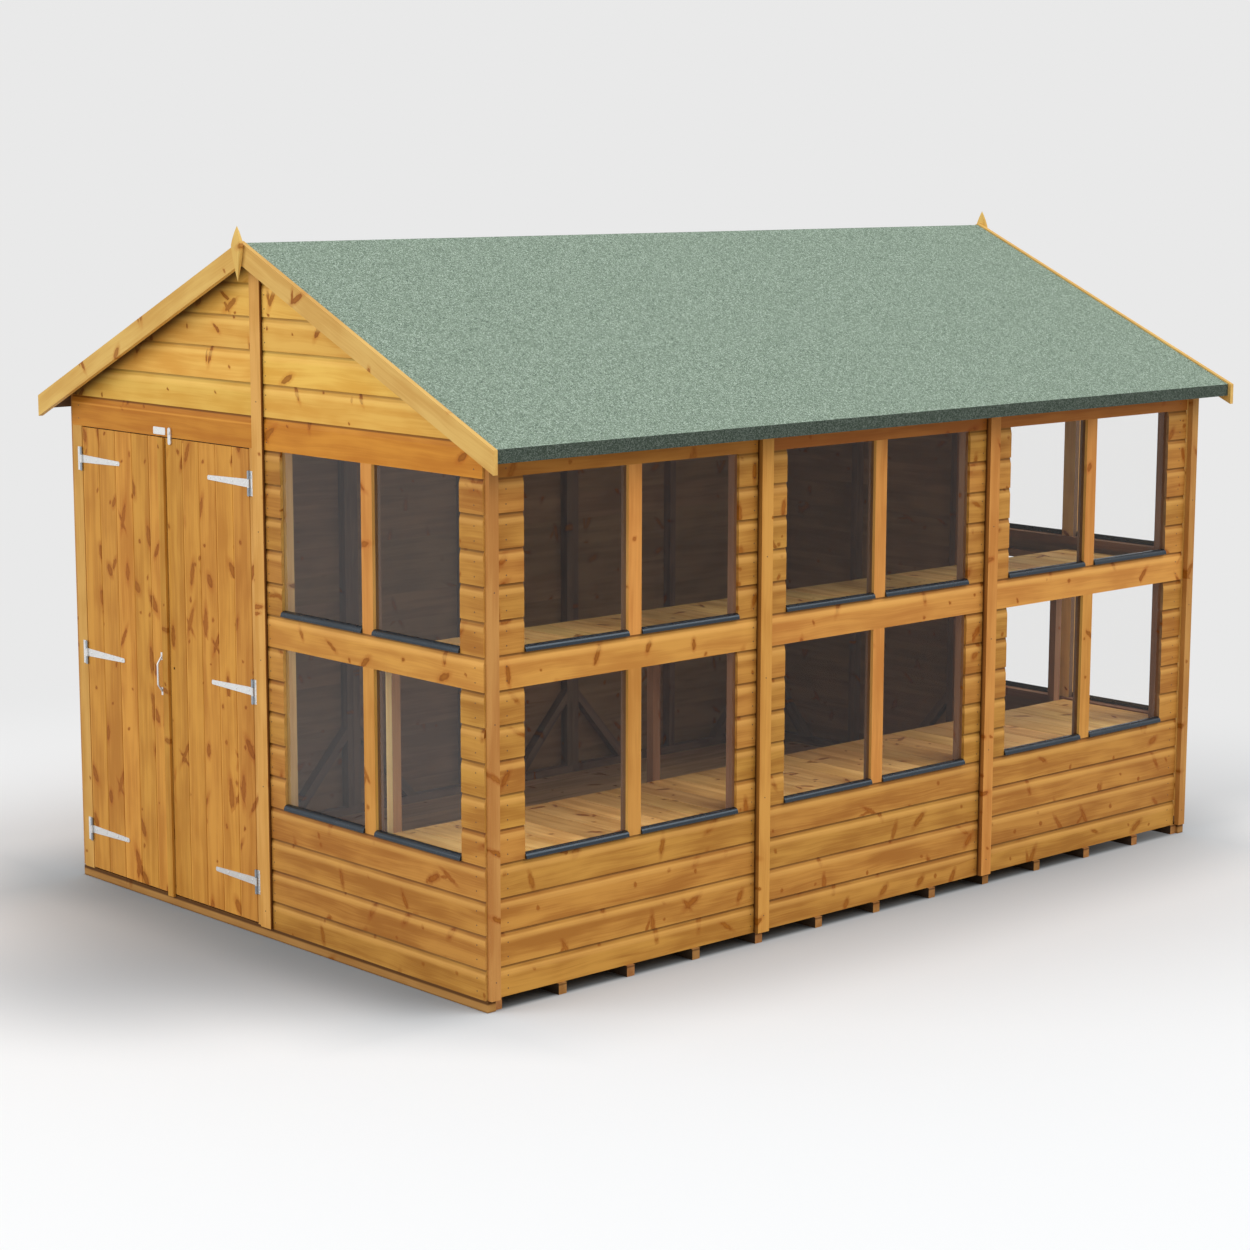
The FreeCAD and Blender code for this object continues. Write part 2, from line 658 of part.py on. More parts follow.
def make_doors():
    """Two ledged and braced leaves with their hinges, handle, lock and turn button."""
    plates = []
    pins = []
    for leaf, (low, high) in LEAVES.items():
        boards = leaf_boards(leaf)
        if leaf == "right":
            keyhole = along_y(low + KEY_INSET, KEY_Z, KEY_R, (FACE_Y, FACE_Y + LEAF_T))
            boards[0] = boards[0].cut(keyhole).Solids[0]
        write(f"{leaf}_door_boards", boards)
        write(f"{leaf}_door_ledges", leaf_ledges(leaf))
        write(f"{leaf}_door_hinge_straps", [hinge_strap(leaf, centre) for centre in HINGE_ZS])
        plates += [hinge_plate(leaf, centre) for centre in HINGE_ZS]
        pins += [hinge_pin(leaf, centre) for centre in HINGE_ZS]
    write("hinge_plates", plates)
    write("hinge_pins", pins)
    edge = LEAVES["left"][1]
    strip_z = (DOOR_BOTTOM - STRIP_DROP, DOOR_TOP)
    write("meeting_strip", [box((edge - STRIP_W, edge), (FACE_Y - STRIP_T, FACE_Y), strip_z)])
    write("door_handle", [pull_handle(edge - STRIP_W - HANDLE_INSET)])
    low = LEAVES["right"][0]
    case_x = (low + LOCK_EDGE, low + LOCK_EDGE + LOCK_W)
    case_y = (FACE_Y + LEAF_T, FACE_Y + LEAF_T + LOCK_T)
    case = box(case_x, case_y, (KEY_Z - LOCK_H / 2, KEY_Z + LOCK_H / 2))
    barrel = along_y(low + KEY_INSET, KEY_Z, KEY_R, (FACE_Y + KEY_RECESS, FACE_Y + LEAF_T))
    write("rim_lock", [case, barrel])
    pivot_x = low + BUTTON_INSET
    pivot_z = HEAD_Z + BUTTON_PIVOT_RISE
    write("turn_button", [turn_button(pivot_x, pivot_z)])
    write("button_screw", [button_screw(pivot_x, pivot_z)])


def make_cover_strips():
    """Corner trims, battens over the module joints and the battens up both gables."""
    trim_top = roof_z(HALF_WIDTH + BATTEN_T, BOARD_UNDER_DROP) - TRIM_TOP_GAP
    z = (CLAD_BOTTOM, trim_top)
    outside = (-BATTEN_T, 0)
    end = HALF_LENGTH - TRIM_SETBACK
    trims = []
    battens = []
    for wall in ("right", "left"):
        corners = [box((-end, -end + CORNER_TRIM_W), outside, z), box((end - CORNER_TRIM_W, end), outside, z)]
        trims += on_wall(corners, wall)
        for joint in range(1, SIDE_MODULES):
            centre = -SIDE_HALF + MODULE * joint
            batten = box((centre - BATTEN_W / 2, centre + BATTEN_W / 2), outside, z)
            battens += on_wall([batten], wall)
    half = GABLE_BATTEN_W / 2
    gable_z = (CLAD_BOTTOM, roof_z(half, BOARD_UNDER_DROP))
    gable = box((-half, half), (-GABLE_BATTEN_T, 0), gable_z)
    write("corner_trims", trims)
    write("side_battens", battens)
    write("gable_battens", on_wall([gable], "front") + on_wall([gable], "rear"))


def truss_joints():
    """Places along the shed where two side modules meet."""
    return [-SIDE_HALF + MODULE * joint for joint in range(1, SIDE_MODULES)]


def make_roof_frame():
    """Trusses at the module joints, purlins and ridge beam between them, and eave fillets."""
    peak = roof_z(0, BOARD_UNDER_DROP)
    foot = roof_z(INNER_X, BOARD_UNDER_DROP)
    rafter = [(0, peak), (INNER_X, foot), (INNER_X, foot - RAFTER_D), (0, peak - RAFTER_D)]
    collar_foot = peak - COLLAR_DROP
    collar_top = collar_foot + COLLAR_H
    wide = (COLLAR_DROP - RAFTER_D) / SLOPE
    narrow = wide - COLLAR_H / SLOPE
    collar = [(-wide, collar_foot), (wide, collar_foot), (narrow, collar_top), (-narrow, collar_top)]
    trusses = []
    stops = [-SIDE_HALF]
    for joint in truss_joints():
        y = (joint - RAFTER_T / 2, joint + RAFTER_T / 2)
        trusses += [prism_y(outline, y) for outline in (rafter, mirrored(rafter), collar)]
        stops += y
    stops.append(SIDE_HALF)
    bays = list(zip(stops[0::2], stops[1::2]))
    low = HALF_WIDTH / 2
    high = low + PURLIN_W
    low_z = roof_z(low, BOARD_UNDER_DROP)
    high_z = roof_z(high, BOARD_UNDER_DROP)
    purlin = [(low, low_z), (high, high_z), (high, high_z - PURLIN_D), (low, low_z - PURLIN_D)]
    half = RIDGE_BEAM_W / 2
    shoulder = roof_z(half, BOARD_UNDER_DROP)
    beam_foot = peak - RIDGE_BEAM_D
    ridge = [(-half, shoulder), (0, peak), (half, shoulder), (half, beam_foot), (-half, beam_foot)]
    purlins = []
    for bay in bays:
        purlins += [prism_y(outline, bay) for outline in (purlin, mirrored(purlin), ridge)]
    inner = EAVE_X - FILLET_W
    fold_foot = roof_z(EAVE_X + FELT_T, 0) - FELT_FOLD
    fillet = [(inner, fold_foot), (EAVE_X, fold_foot), (EAVE_X, roof_z(EAVE_X, BOARD_UNDER_DROP)),
              (inner, roof_z(inner, BOARD_UNDER_DROP))]
    span = (-ROOF_HALF, ROOF_HALF)
    write("roof_trusses", trusses)
    write("roof_purlins", purlins)
    write("eave_fillets", [prism_y(fillet, span), prism_y(mirrored(fillet), span)])


def make_roof_cover():
    """Roof boards in three sheets a side, under one felt a side and its strip down the eave."""
    sheet = [(0, roof_z(0, BOARD_TOP_DROP)), (EAVE_X, roof_z(EAVE_X, BOARD_TOP_DROP)),
             (EAVE_X, roof_z(EAVE_X, BOARD_UNDER_DROP)), (0, roof_z(0, BOARD_UNDER_DROP))]
    edges = [-ROOF_HALF] + truss_joints() + [ROOF_HALF]
    rim = EAVE_X + FELT_T
    fold_foot = roof_z(rim, 0) - FELT_FOLD
    felt = [(0, roof_z(0, 0)), (rim, roof_z(rim, 0)), (rim, roof_z(rim, BOARD_TOP_DROP)),
            (0, roof_z(0, BOARD_TOP_DROP))]
    fold = [(EAVE_X, fold_foot), (rim, fold_foot), (rim, roof_z(rim, BOARD_TOP_DROP)),
            (EAVE_X, roof_z(EAVE_X, BOARD_TOP_DROP))]
    span = (-ROOF_HALF, ROOF_HALF)
    bays = list(zip(edges, edges[1:]))
    write("roof_boards_right", [prism_y(sheet, bay) for bay in bays])
    write("roof_boards_left", [prism_y(mirrored(sheet), bay) for bay in bays])
    write("roof_felt_right", [prism_y(felt, span), prism_y(fold, span)])
    write("roof_felt_left", [prism_y(mirrored(felt), span), prism_y(mirrored(fold), span)])


def make_barges():
    """Barge boards over the ends of the roof and a spear finial on each pair."""
    top = RIDGE_Z + BARGE_RISE
    end = HALF_WIDTH + BARGE_REACH
    drop = BARGE_W * SECANT
    board = [(0, top), (end, top - SLOPE * end), (end, top - SLOPE * end - drop), (0, top - drop)]
    tip = RIDGE_Z + FINIAL_RISE
    half = FINIAL_W / 2
    shoulder = tip - FINIAL_SHOULDER
    spear = [(0, tip), (half, shoulder), (0, tip - FINIAL_LENGTH), (-half, shoulder)]
    for gable, sign in (("front", -1), ("rear", 1)):
        board_y = sorted((sign * ROOF_HALF, sign * (ROOF_HALF + BARGE_T)))
        spear_y = sorted((sign * (ROOF_HALF + BARGE_T), sign * (ROOF_HALF + BARGE_T + FINIAL_T)))
        write(f"{gable}_barge_boards", [prism_y(board, board_y), prism_y(mirrored(board), board_y)])
        write(f"{gable}_finial", [prism_y(spear, spear_y)])


def make_staging():
    """Two tiers of slatted staging along the glazed wall, on legs at the room side of its edge."""
    edge = INNER_X - STAGING_DEPTH
    leg_x = (edge - STAGING_LEG_D, edge)
    starts = [-SIDE_HALF + MODULE * index + STAGING_LEG_INSET for index in range(SIDE_MODULES)]
    starts.append(SIDE_HALF - STAGING_LEG_INSET - STAGING_LEG_W)
    upper_shelf = course_top(LOWER_HEAD) + UPPER_SHELF_LIFT
    tiers = {"lower": course_top(LOWER_SILL) - LOWER_SHELF_DROP, "upper": upper_shelf}
    leg_z = (FLOOR_TOP, upper_shelf - SLAT_T)
    frame = [box(leg_x, (start, start + STAGING_LEG_W), leg_z) for start in starts]
    for shelf in tiers.values():
        z = (shelf - SLAT_T - STAGING_BEARER_H, shelf - SLAT_T)
        for low in (INNER_X - STAGING_BEARER_T, edge):
            frame.append(box((low, low + STAGING_BEARER_T), (-SIDE_HALF, SIDE_HALF), z))
    write("staging_frame", frame)
    pitch = MODULE / SLATS_PER_MODULE
    for tier, shelf in tiers.items():
        slats = []
        for index in range(SLATS_PER_MODULE * SIDE_MODULES):
            low = -SIDE_HALF + pitch * index + SLAT_GAP / 2
            slats.append(box((edge, INNER_X), (low, low + pitch - SLAT_GAP), (shelf - SLAT_T, shelf)))
        write(f"staging_{tier}_slats", slats)


def main():
    """Build every sub-part and write it to parts/."""
    os.makedirs("parts", exist_ok=True)
    make_floor()
    drips = make_side_walls() + make_gables()
    write("window_drip_strips", drips)
    make_doorway()
    make_doors()
    make_cover_strips()
    make_roof_frame()
    make_roof_cover()
    make_barges()
    make_staging()


main()
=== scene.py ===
"""Looks of the potting shed: grained and knotted timber, mineral felt, glass and zinc hardware.

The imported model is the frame. Sizes are metres, in the frame of the CAD model: Z up, doors
towards -Y, glazed long side towards +X. Every timber node is split into its boards, and each
board carries its own grain coordinates, so that no two boards show the same figure.
"""
import math
import random

import bmesh
import bpy
import numpy as np
from mathutils import Matrix, Vector


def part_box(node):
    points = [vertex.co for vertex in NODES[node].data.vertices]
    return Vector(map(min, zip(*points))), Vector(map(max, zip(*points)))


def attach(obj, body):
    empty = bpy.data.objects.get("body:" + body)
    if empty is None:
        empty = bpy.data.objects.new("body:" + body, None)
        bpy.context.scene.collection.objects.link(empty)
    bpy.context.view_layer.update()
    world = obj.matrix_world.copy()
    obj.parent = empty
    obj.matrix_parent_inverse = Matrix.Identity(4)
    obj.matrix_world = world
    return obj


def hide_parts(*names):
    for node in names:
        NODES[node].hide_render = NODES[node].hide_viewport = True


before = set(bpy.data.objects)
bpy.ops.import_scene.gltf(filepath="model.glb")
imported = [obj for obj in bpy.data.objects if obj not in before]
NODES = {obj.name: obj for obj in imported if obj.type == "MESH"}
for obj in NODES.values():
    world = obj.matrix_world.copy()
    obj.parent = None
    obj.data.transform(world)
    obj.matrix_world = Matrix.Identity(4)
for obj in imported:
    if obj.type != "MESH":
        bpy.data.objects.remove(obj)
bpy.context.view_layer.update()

# Camera of the photograph
CAMERA_PLACE = Vector((7.918, -7.4115, 2.711))
CAMERA_AZIMUTH = math.radians(47.44)
CAMERA_DOWN = math.radians(9.47)
CAMERA_ROLL = math.radians(0.12)
CAMERA_LENS = 82.05
CAMERA_SENSOR = 36.0

# Light and backdrop
SKY_LIGHT = 0.74
BACKDROP = (0.815, 0.815, 0.815)
KEY_STRENGTH = 1.35
KEY_SPREAD = math.radians(42)
KEY_FROM = Vector((0.80, 0.60, 0.95))
FILL_STRENGTH = 0.95
FILL_SPREAD = math.radians(36)
FILL_FROM = Vector((-0.50, -0.85, 0.40))

# Studio floor: its tones, and the reach and depth of the painted shadows and painted light on it
FLOOR_HALF = 60.0
FLOOR_SEEN = (0.862, 0.874, 0.884)
# painted shadow tone of the floor close to the shed
FLOOR_NEAR_SHADOW = (0.526, 0.562, 0.590)
FLOOR_BOUNCE = (0.55, 0.55, 0.55)
# painted shadow under the shed
FLOOR_UNDER_SHADOW = (0.130, 0.137, 0.140)
UNDER_REACH = (-0.014, 0.024)
NEAR_REACH = 0.70
NEAR_FRONT = 0.10
# painted light that lifts the floor along the long side, towards the front
PAINTED_LIGHT_RUN = (1.2, -1.8)
PAINTED_LIGHT_SIDE = (1.0, 1.3)
PAINTED_LIGHT_SHARE = 0.42
# painted shadow pool before the doors
SHADOW_POOL_CENTRE = (0.05, -2.50, 0)
SHADOW_POOL_RADII = (1.10, 0.85, 1.0)
SHADOW_POOL_DEPTH = 0.34
FLOOR_SHADOW_TONE = (0.0, 0.05, 0.10)
# painted shadow along the front
FRONT_REACH = 0.36
FRONT_SHADE = 0.33
FADE_CENTRE = (1.6, -2.2, 0)
FADE_REACH = (3.2, 6.6)

# Timber colours: linear values of late and of early wood
GOLDEN = ((0.386, 0.155, 0.0245), (0.566, 0.272, 0.052))
RAIL = ((0.55, 0.232, 0.042), (0.71, 0.348, 0.07))
GABLE = ((0.755, 0.385, 0.06), (0.875, 0.522, 0.108))
BARGE = ((0.655, 0.383, 0.089), (0.775, 0.51, 0.141))
DOOR = ((0.51, 0.212, 0.03), (0.68, 0.328, 0.056))
HEAD = ((0.53, 0.185, 0.0185), (0.655, 0.264, 0.032))
TRIM = ((0.55, 0.226, 0.043), (0.68, 0.318, 0.071))
CORNER = ((0.475, 0.2, 0.048), (0.59, 0.285, 0.078))
POST = ((0.6, 0.3, 0.06), (0.74, 0.41, 0.105))
# painted shade: a darker copy of the strip timber for the upright sides of cover strips
FLANK_SHADE = ((0.34, 0.14, 0.026), (0.44, 0.2, 0.042))
# painted light: pale jambs and inner frame faces, as if lit through the panes
JAMB_LIT = ((0.78, 0.455, 0.165), (0.93, 0.62, 0.25))
FLOORING = ((0.58, 0.345, 0.165), (0.76, 0.49, 0.255))
# painted light: faces of the front staging pieces square to the front, as if lit through the front panes
LEG_FACE_LIT = ((0.88, 0.61, 0.25), (0.94, 0.74, 0.33))
# painted shade: head boards of the long sides, darker as if shaded by the roof overhang
EAVE_SHADED = ((0.38, 0.13, 0.018), (0.48, 0.185, 0.03))
JOIST = ((0.32, 0.143, 0.035), (0.41, 0.208, 0.061))
JOIST_END = ((0.3, 0.13, 0.036), (0.4, 0.192, 0.06))
# painted shade: near-black sides of the inner joists under the shed
JOIST_SIDE_SHADE = ((0.03, 0.018, 0.01), (0.055, 0.034, 0.02))
SAWN = ((0.245, 0.124, 0.062), (0.345, 0.188, 0.099))
SHADE = ((0.16, 0.097, 0.061), (0.24, 0.15, 0.096))
INSIDE = ((0.25, 0.138, 0.062), (0.36, 0.212, 0.102))
SHELF = ((0.67, 0.35, 0.088), (0.9, 0.565, 0.19))
# painted light: front staging pieces, lighter than the other legs and bearers
LEG_LIT = ((0.345, 0.165, 0.068), (0.45, 0.23, 0.102))

# Grain: scales along, across and through a board, shares and limits
BEND_SCALE = (2.6, 7.0, 7.0)
BEND_REACH = 0.035
BLOTCH_SCALE = (4.5, 11.0, 11.0)
BLOTCH_SHARE = 0.38
BROAD_SCALE = (1.7, 30.0, 30.0)
FINE_SCALE = (6.0, 200.0, 200.0)
FINE_SHARE = 0.30
FIGURE_EDGE = (0.38, 0.62)
HUE_RANGE = (0.4945, 0.505)
GRAIN_SHIFT = 40
GRAIN_BUMP = 0.2
GRAIN_DEPTH = 0.0006
TIMBER_GLOSS = 0.13

# Knots: cells to the metre along and across, half sizes, and the edges of core, halo and rim
KNOT = (0.25, 0.068, 0.004)
KNOT_PALE = (0.37, 0.124, 0.010)
SPIKE_KNOTS = {"cells": (4.8, 9.5), "length": 0.031, "width": 0.0074, "paired": True}
PIN_KNOTS = {"cells": (7.0, 13.0), "length": 0.007, "width": 0.0045, "paired": False}
PIN_SHARE = 0.6
KNOT_SCATTER = 0.9
KNOT_LENGTHS = (0.5, 1.3)
KNOT_WIDTHS = (0.8, 1.5)
NOISE_MIDDLE = (0.5, 0.5, 0.5)
KNOT_RAGGED = 70.0
KNOT_TEAR = 0.010
KNOT_FAINT = 0.68
TWIN_OFFSET = (0.024, 0.006, 0)
TWIN_LEAN = math.pi + 0.3
TWIN_SIZE = 0.65
TWIN_FROM = 0.8
TWIN_AWAY = 9.0
CORE_EDGE = (1.10, 0.84)
CORE_DEPTH = 0.94
HALO = (0.86, 0.66, 0.50)
HALO_EDGE = (2.1, 0.9)
HALO_DEPTH = 0.62
RIM_EDGE = (0.25, 0.95)
RING_SCALE = 160.0
RING_EDGE = (0.35, 0.65)
RING_SHARE = 0.35
LEAN_ACROSS = (0.35, math.pi - 0.35)
LEAN_ALONG = (-0.65, 0.65)

# Edges of boards: colours, places and reaches of painted shade lines and painted highlights, and of painted
# shade under the roof and at the foot of flanks and reveals
BLACK = (0, 0, 0)
# painted shade line under each board's lap, and its colour
SEAM_SHADE = (0.058, 0.017, 0.003)
SEAM_AT = 0.005
SEAM_REACH = 0.0050
SEAM_CORE = 0.25
# reach of the painted shade along a board's bottom edge
SOLE_REACH = 0.007
# lift of the painted highlight colour over the early wood
HIGHLIGHT_LIFT = (1.30, 1.42, 1.85)
SCOOP_RISE = (0.042, 0.026)
SCOOP_FALL = (0.013, 0.021)
# depth of the painted shade on the worked top above the highlight
SCOOP_SHADE = 0.10
# painted highlight on matched board edges, and painted shade in the gap beside them
JOINT_FROM = 0.35
JOINT_LINE = (0.0085, 0.0045)
JOINT_GAP = (0.0030, 0.0012)
JOINT_GAP_SHARE = 0.18
# painted highlight line on the door head board
BEAD_LINE = 0.006
BEAD_DEPTH = 0.6
# painted shade on the gable boards close under the roof: its tone and reach
EAVES_SHADE_TONE = (0.105, 0.048, 0.013)
EAVES_EDGE = (0.072, 0.025)
# painted shade line where the strips' flanks meet the wall
FLANK_SHADE_FOOT = (SEAM_SHADE, 0.014, 0.0)
# painted shade on the part of the mullion sides behind the glass
REVEAL_SHADE = (0.188, 0.102, 0.054)
REVEAL_SHADE_FOOT = (REVEAL_SHADE, 0.0245, 0.0235)

# Felt: two ground tones, pale grit and dark grit
FELT_TONES = ((0.205, 0.274, 0.208), (0.258, 0.337, 0.262), (0.51, 0.61, 0.52), (0.066, 0.100, 0.078))
FELT_GRIT = 360.0
FELT_CLOUD = 70.0
CLOUD_EDGE = (0.35, 0.65)
PALE_GRIT_FROM = 0.80
DARK_GRIT_TO = 0.22
GRIT_DEPTH = 0.75
GRIT_BUMP = 0.5
GRIT_HEIGHT = 0.001
FELT_ROUGHNESS = 0.95
FELT_GLOSS = 0.15
# painted shade: darker copy of the felt on the fold
FOLD_SHADE = 0.275

# Glass, zinc and moulded surfaces
GLASS_CLEAR = (0.993, 0.993, 0.992, 1)
GLASS_ROUGHNESS = 0.02
DRIP = (0.010, 0.014, 0.020)
DRIP_TINT = (0.70, 0.86, 1.0)
NAIL_STEEL = (0.075, 0.050, 0.034)
ZINC = (0.78, 0.78, 0.77)
KEYHOLE = (0.020, 0.014, 0.010)
BARREL = (0.36, 0.40, 0.44)
PLATE_WHITE = (0.84, 0.84, 0.82)
MOTTLE_EDGE = (0.3, 0.7)
MOTTLE_BUMP = 0.08
MOTTLE_DEPTH = 0.0005
GLOSS_EDGE = (0.25, 0.75)
GLOSS_SPREAD = 0.2
SMOOTH_ANGLE = math.radians(35)
WELD_REACH = 0.00001

# Small fittings; profiles are reach and rise as shares of radius and height
SCREW_R = 0.0035
SCREW_H = 0.0016
SCREW_SIDES = 12
SCREW_PROFILE = ((1.0, 0.0), (0.92, 0.55), (0.6, 0.95), (0.28, 1.0), (0.16, 0.45))
STRAP_SCREWS = (0.032, 0.105, 0.178, 0.238)
PLATE_SCREWS = (-0.034, -0.012, 0.012, 0.034)
PLATE_SCREW_INSET = 0.010
HINGE_FACE = 0.0025
HINGE_STOCK = 0.003
NAIL_R = 0.0024
NAIL_PROUD = 0.0004
NAIL_SIDES = 8
NAIL_PROFILE = ((1.0, 0.0), (0.85, 1.0), (0.3, 0.6))
NAIL_INSET = 0.042
NAIL_RISES = (0.24, 0.66)
STRIP_NAIL_STEP = 0.40
STRIP_NAIL_FOOT = 0.06
BEAD_STEPS = 8
BEAD_SHARE = 0.82
BEAD_POWER = 0.8
SPEAR_SHOULDER = 0.36
SPEAR_STEPS = 7
SPEAR_WIDTH_POWER = 1.15
SPEAR_THICK_POWER = 2.2
SPEAR_BEVEL = 0.35
SPEAR_SEEDS = {"front_finial": 101, "rear_finial": 102}
PLATE_W = 0.075
PLATE_H = 0.026
PLATE_T = 0.0015
PLATE_CORNER = 0.004
PLATE_STEPS = 4
PLATE_RISE = 0.010
PLATE_GAP = 0.021

# Limits that tell boards and faces apart
COORD_PLACES = 5
NORMAL_PLACES = 2
SIGN_PLACES = 3
TOUCH = 0.001
CLOSE = 0.01
SQUARE_ON = 0.9
SKEW = 0.5
INWARD = -1.0
UPRIGHT = 1.0
LONG_SIDE_X = 1.0
FELT_SLOPE = 0.6
JAMB_X = 0.13
LEG_NEAR = 0.30
RAIL_LENGTH = 0.9


# Boards and their grain

def rounded(vector, places):
    """Tuple of a vector's rounded values."""
    return tuple(round(value, places) for value in vector)


def closed_solids(mesh):
    """Polygon index lists of the closed solids in a mesh, in mesh order."""
    keys = [rounded(vertex.co, COORD_PLACES) for vertex in mesh.vertices]
    unmatched = set()
    current = []
    solids = []
    for polygon in mesh.polygons:
        corners = [keys[index] for index in polygon.vertices]
        current.append(polygon.index)
        for first, second in zip(corners, corners[1:] + corners[:1]):
            unmatched ^= {(min(first, second), max(first, second))}
        if not unmatched:
            solids.append(current)
            current = []
    return solids


def board_axes(mesh, polygons):
    """Unit vectors along, across and outward through a board."""
    areas = {}
    sides = {}
    for index in polygons:
        polygon = mesh.polygons[index]
        normal = rounded(polygon.normal, NORMAL_PLACES)
        turned = max(normal, tuple(-value for value in normal))
        areas[turned] = areas.get(turned, 0) + polygon.area
        points = [rounded(mesh.vertices[i].co, COORD_PLACES) for i in polygon.vertices]
        for first, second in zip(points, points[1:] + points[:1]):
            sides.setdefault((min(first, second), max(first, second)), set()).add(normal)
    edges = [Vector(b) - Vector(a) for (a, b), normals in sides.items() if len(normals) > 1]
    along = max(edges, key=lambda edge: edge.length).normalized()
    faces = [Vector(normal) * area for normal, area in areas.items()
             if abs(Vector(normal).dot(along)) < SKEW]
    through = max(faces, key=lambda face: face.length).normalized()
    corner = mesh.vertices[mesh.polygons[polygons[0]].vertices[0]].co
    if through.dot(corner) < 0:
        through = -through
    across = through.cross(along).normalized()
    if rounded(across.zxy, SIGN_PLACES) < (0, 0, 0):
        across = -across
    return along, across, through


def write_vectors(mesh, **columns):
    """Store arrays of one vector per vertex as attributes of a mesh."""
    for name, values in columns.items():
        attribute = mesh.attributes.new(name, "FLOAT_VECTOR", "POINT")
        attribute.data.foreach_set("vector", np.asarray(values, np.float32).ravel())


def grain_of(places, axes, chance):
    """Grain coordinates, chance values, and distances to the top, bottom and inner face of one board."""
    local = places @ np.array([tuple(axis) for axis in axes]).T
    low = local.min(0)
    high = local.max(0)
    shift = np.array([chance.uniform(0, GRAIN_SHIFT) for _ in range(3)])
    luck = [chance.random() for _ in range(3)]
    rim = np.stack([high[1] - local[:, 1], local[:, 1] - low[1], local[:, 2] - low[2]], 1)
    return local - low + shift, luck, rim


def is_side(name, normal):
    """Whether a face is an upright side of its board, square to the wall."""
    return abs(normal.x if name.startswith(("gable", "front", "rear")) else normal.y) > SQUARE_ON


def face_finish(name, finish, polygon):
    """Finish of one face of a board that has a finish of its own."""
    if finish in LINED and polygon.normal.dot(polygon.center) < INWARD:
        return "inside"
    # inner faces of the rear window frame take painted light
    if name == "rear_window_frame" and finish == "trim" and polygon.normal.y < -SQUARE_ON:
        return "lit_jamb"
    if (name, finish) in SIDES and is_side(name, polygon.normal):
        return SIDES[name, finish]
    return finish


def mark_boards(node, seed, finish_of, materials):
    """Give every board of a node its finishes, grain coordinates, chance values and rim distances."""
    mesh = node.data
    order = []
    chance = random.Random(seed)
    places = np.array([vertex.co for vertex in mesh.vertices], float).reshape(-1, 3)
    grain = np.zeros_like(places)
    board = np.zeros_like(places)
    rim = np.zeros_like(places)
    for polygons in closed_solids(mesh):
        members = sorted({index for polygon in polygons for index in mesh.polygons[polygon].vertices})
        spots = places[members]
        grain[members], board[members], rim[members] = grain_of(spots, board_axes(mesh, polygons), chance)
        finish = finish_of(spots.min(0), spots.max(0))
        for index in polygons:
            polygon = mesh.polygons[index]
            shown = face_finish(node.name, finish, polygon)
            if shown not in order:
                order.append(shown)
                mesh.materials.append(materials[shown])
            polygon.material_index = order.index(shown)
    write_vectors(mesh, grain=grain, board=board, rim=rim)


# Shader helpers

def new_material(name):
    """Material with an empty node tree, and that tree."""
    material = bpy.data.materials.new(name)
    material.use_nodes = True
    tree = material.node_tree
    tree.nodes.clear()
    return material, tree


def add(tree, kind, inputs=None, **settings):
    """Node of a kind, with settings, and inputs that are values or sockets."""
    node = tree.nodes.new("ShaderNode" + kind)
    for name, value in settings.items():
        setattr(node, name, value)
    for name, value in (inputs or {}).items():
        if isinstance(value, bpy.types.NodeSocket):
            tree.links.new(value, node.inputs[name])
        else:
            node.inputs[name].default_value = value
    return node


def calc(tree, operation, first, second=0.0):
    """Math node's result."""
    return add(tree, "Math", {0: first, 1: second}, operation=operation).outputs[0]


def times(tree, first, second):
    """Product of two values."""
    return calc(tree, "MULTIPLY", first, second)


def vector_calc(tree, operation, first, second=(0, 0, 0)):
    """Vector Math node's result, a vector or a number."""
    node = add(tree, "VectorMath", {0: first, 1: second}, operation=operation)
    return node.outputs["Value" if operation in ("LENGTH", "DISTANCE", "DOT_PRODUCT") else "Vector"]


def scaled(tree, vector, factors):
    """Vector multiplied by factors along its axes."""
    return vector_calc(tree, "MULTIPLY", vector, factors)


def parts(tree, vector):
    """The three numbers of a vector."""
    return tuple(add(tree, "SeparateXYZ", {0: vector}).outputs)


def mix(tree, factor, first, second):
    """Mixed colour; plain colours are linear triples."""
    first = (*first, 1) if isinstance(first, tuple) else first
    second = (*second, 1) if isinstance(second, tuple) else second
    return add(tree, "Mix", {0: factor, 6: first, 7: second}, data_type="RGBA").outputs[2]


def lay(tree, colour, mask, strength, tone):
    """Colour with a tone laid over it where a mask shows, at a strength."""
    return mix(tree, times(tree, mask, strength), colour, tone)


def weigh(tree, first, second, share):
    """Sum of two values in which the second has a share."""
    return calc(tree, "ADD", times(tree, first, 1 - share), times(tree, second, share))


def ramp(tree, value, low, high, start=0.0, end=1.0):
    """Smooth step of a value from start to end between two limits."""
    inputs = {"Value": value, "From Min": low, "From Max": high, "To Min": start, "To Max": end}
    return add(tree, "MapRange", inputs, interpolation_type="SMOOTHSTEP").outputs["Result"]


def spread(tree, chance, start, end, top=1.0):
    """Chance value between 0 and top, carried over to the range from start to end."""
    inputs = {"Value": chance, "From Max": top, "To Min": start, "To Max": end}
    return add(tree, "MapRange", inputs).outputs["Result"]


def noise(tree, vector, detail=2.0, roughness=0.5):
    """Noise value at a vector that is already scaled."""
    inputs = {"Vector": vector, "Scale": 1.0, "Detail": detail, "Roughness": roughness}
    return add(tree, "TexNoise", inputs).outputs["Fac"]


def attribute(tree, name):
    """Vector that each vertex carries under a name."""
    return add(tree, "Attribute", attribute_name=name).outputs["Vector"]


def position(tree):
    """Place of the shaded point."""
    return add(tree, "NewGeometry").outputs["Position"]


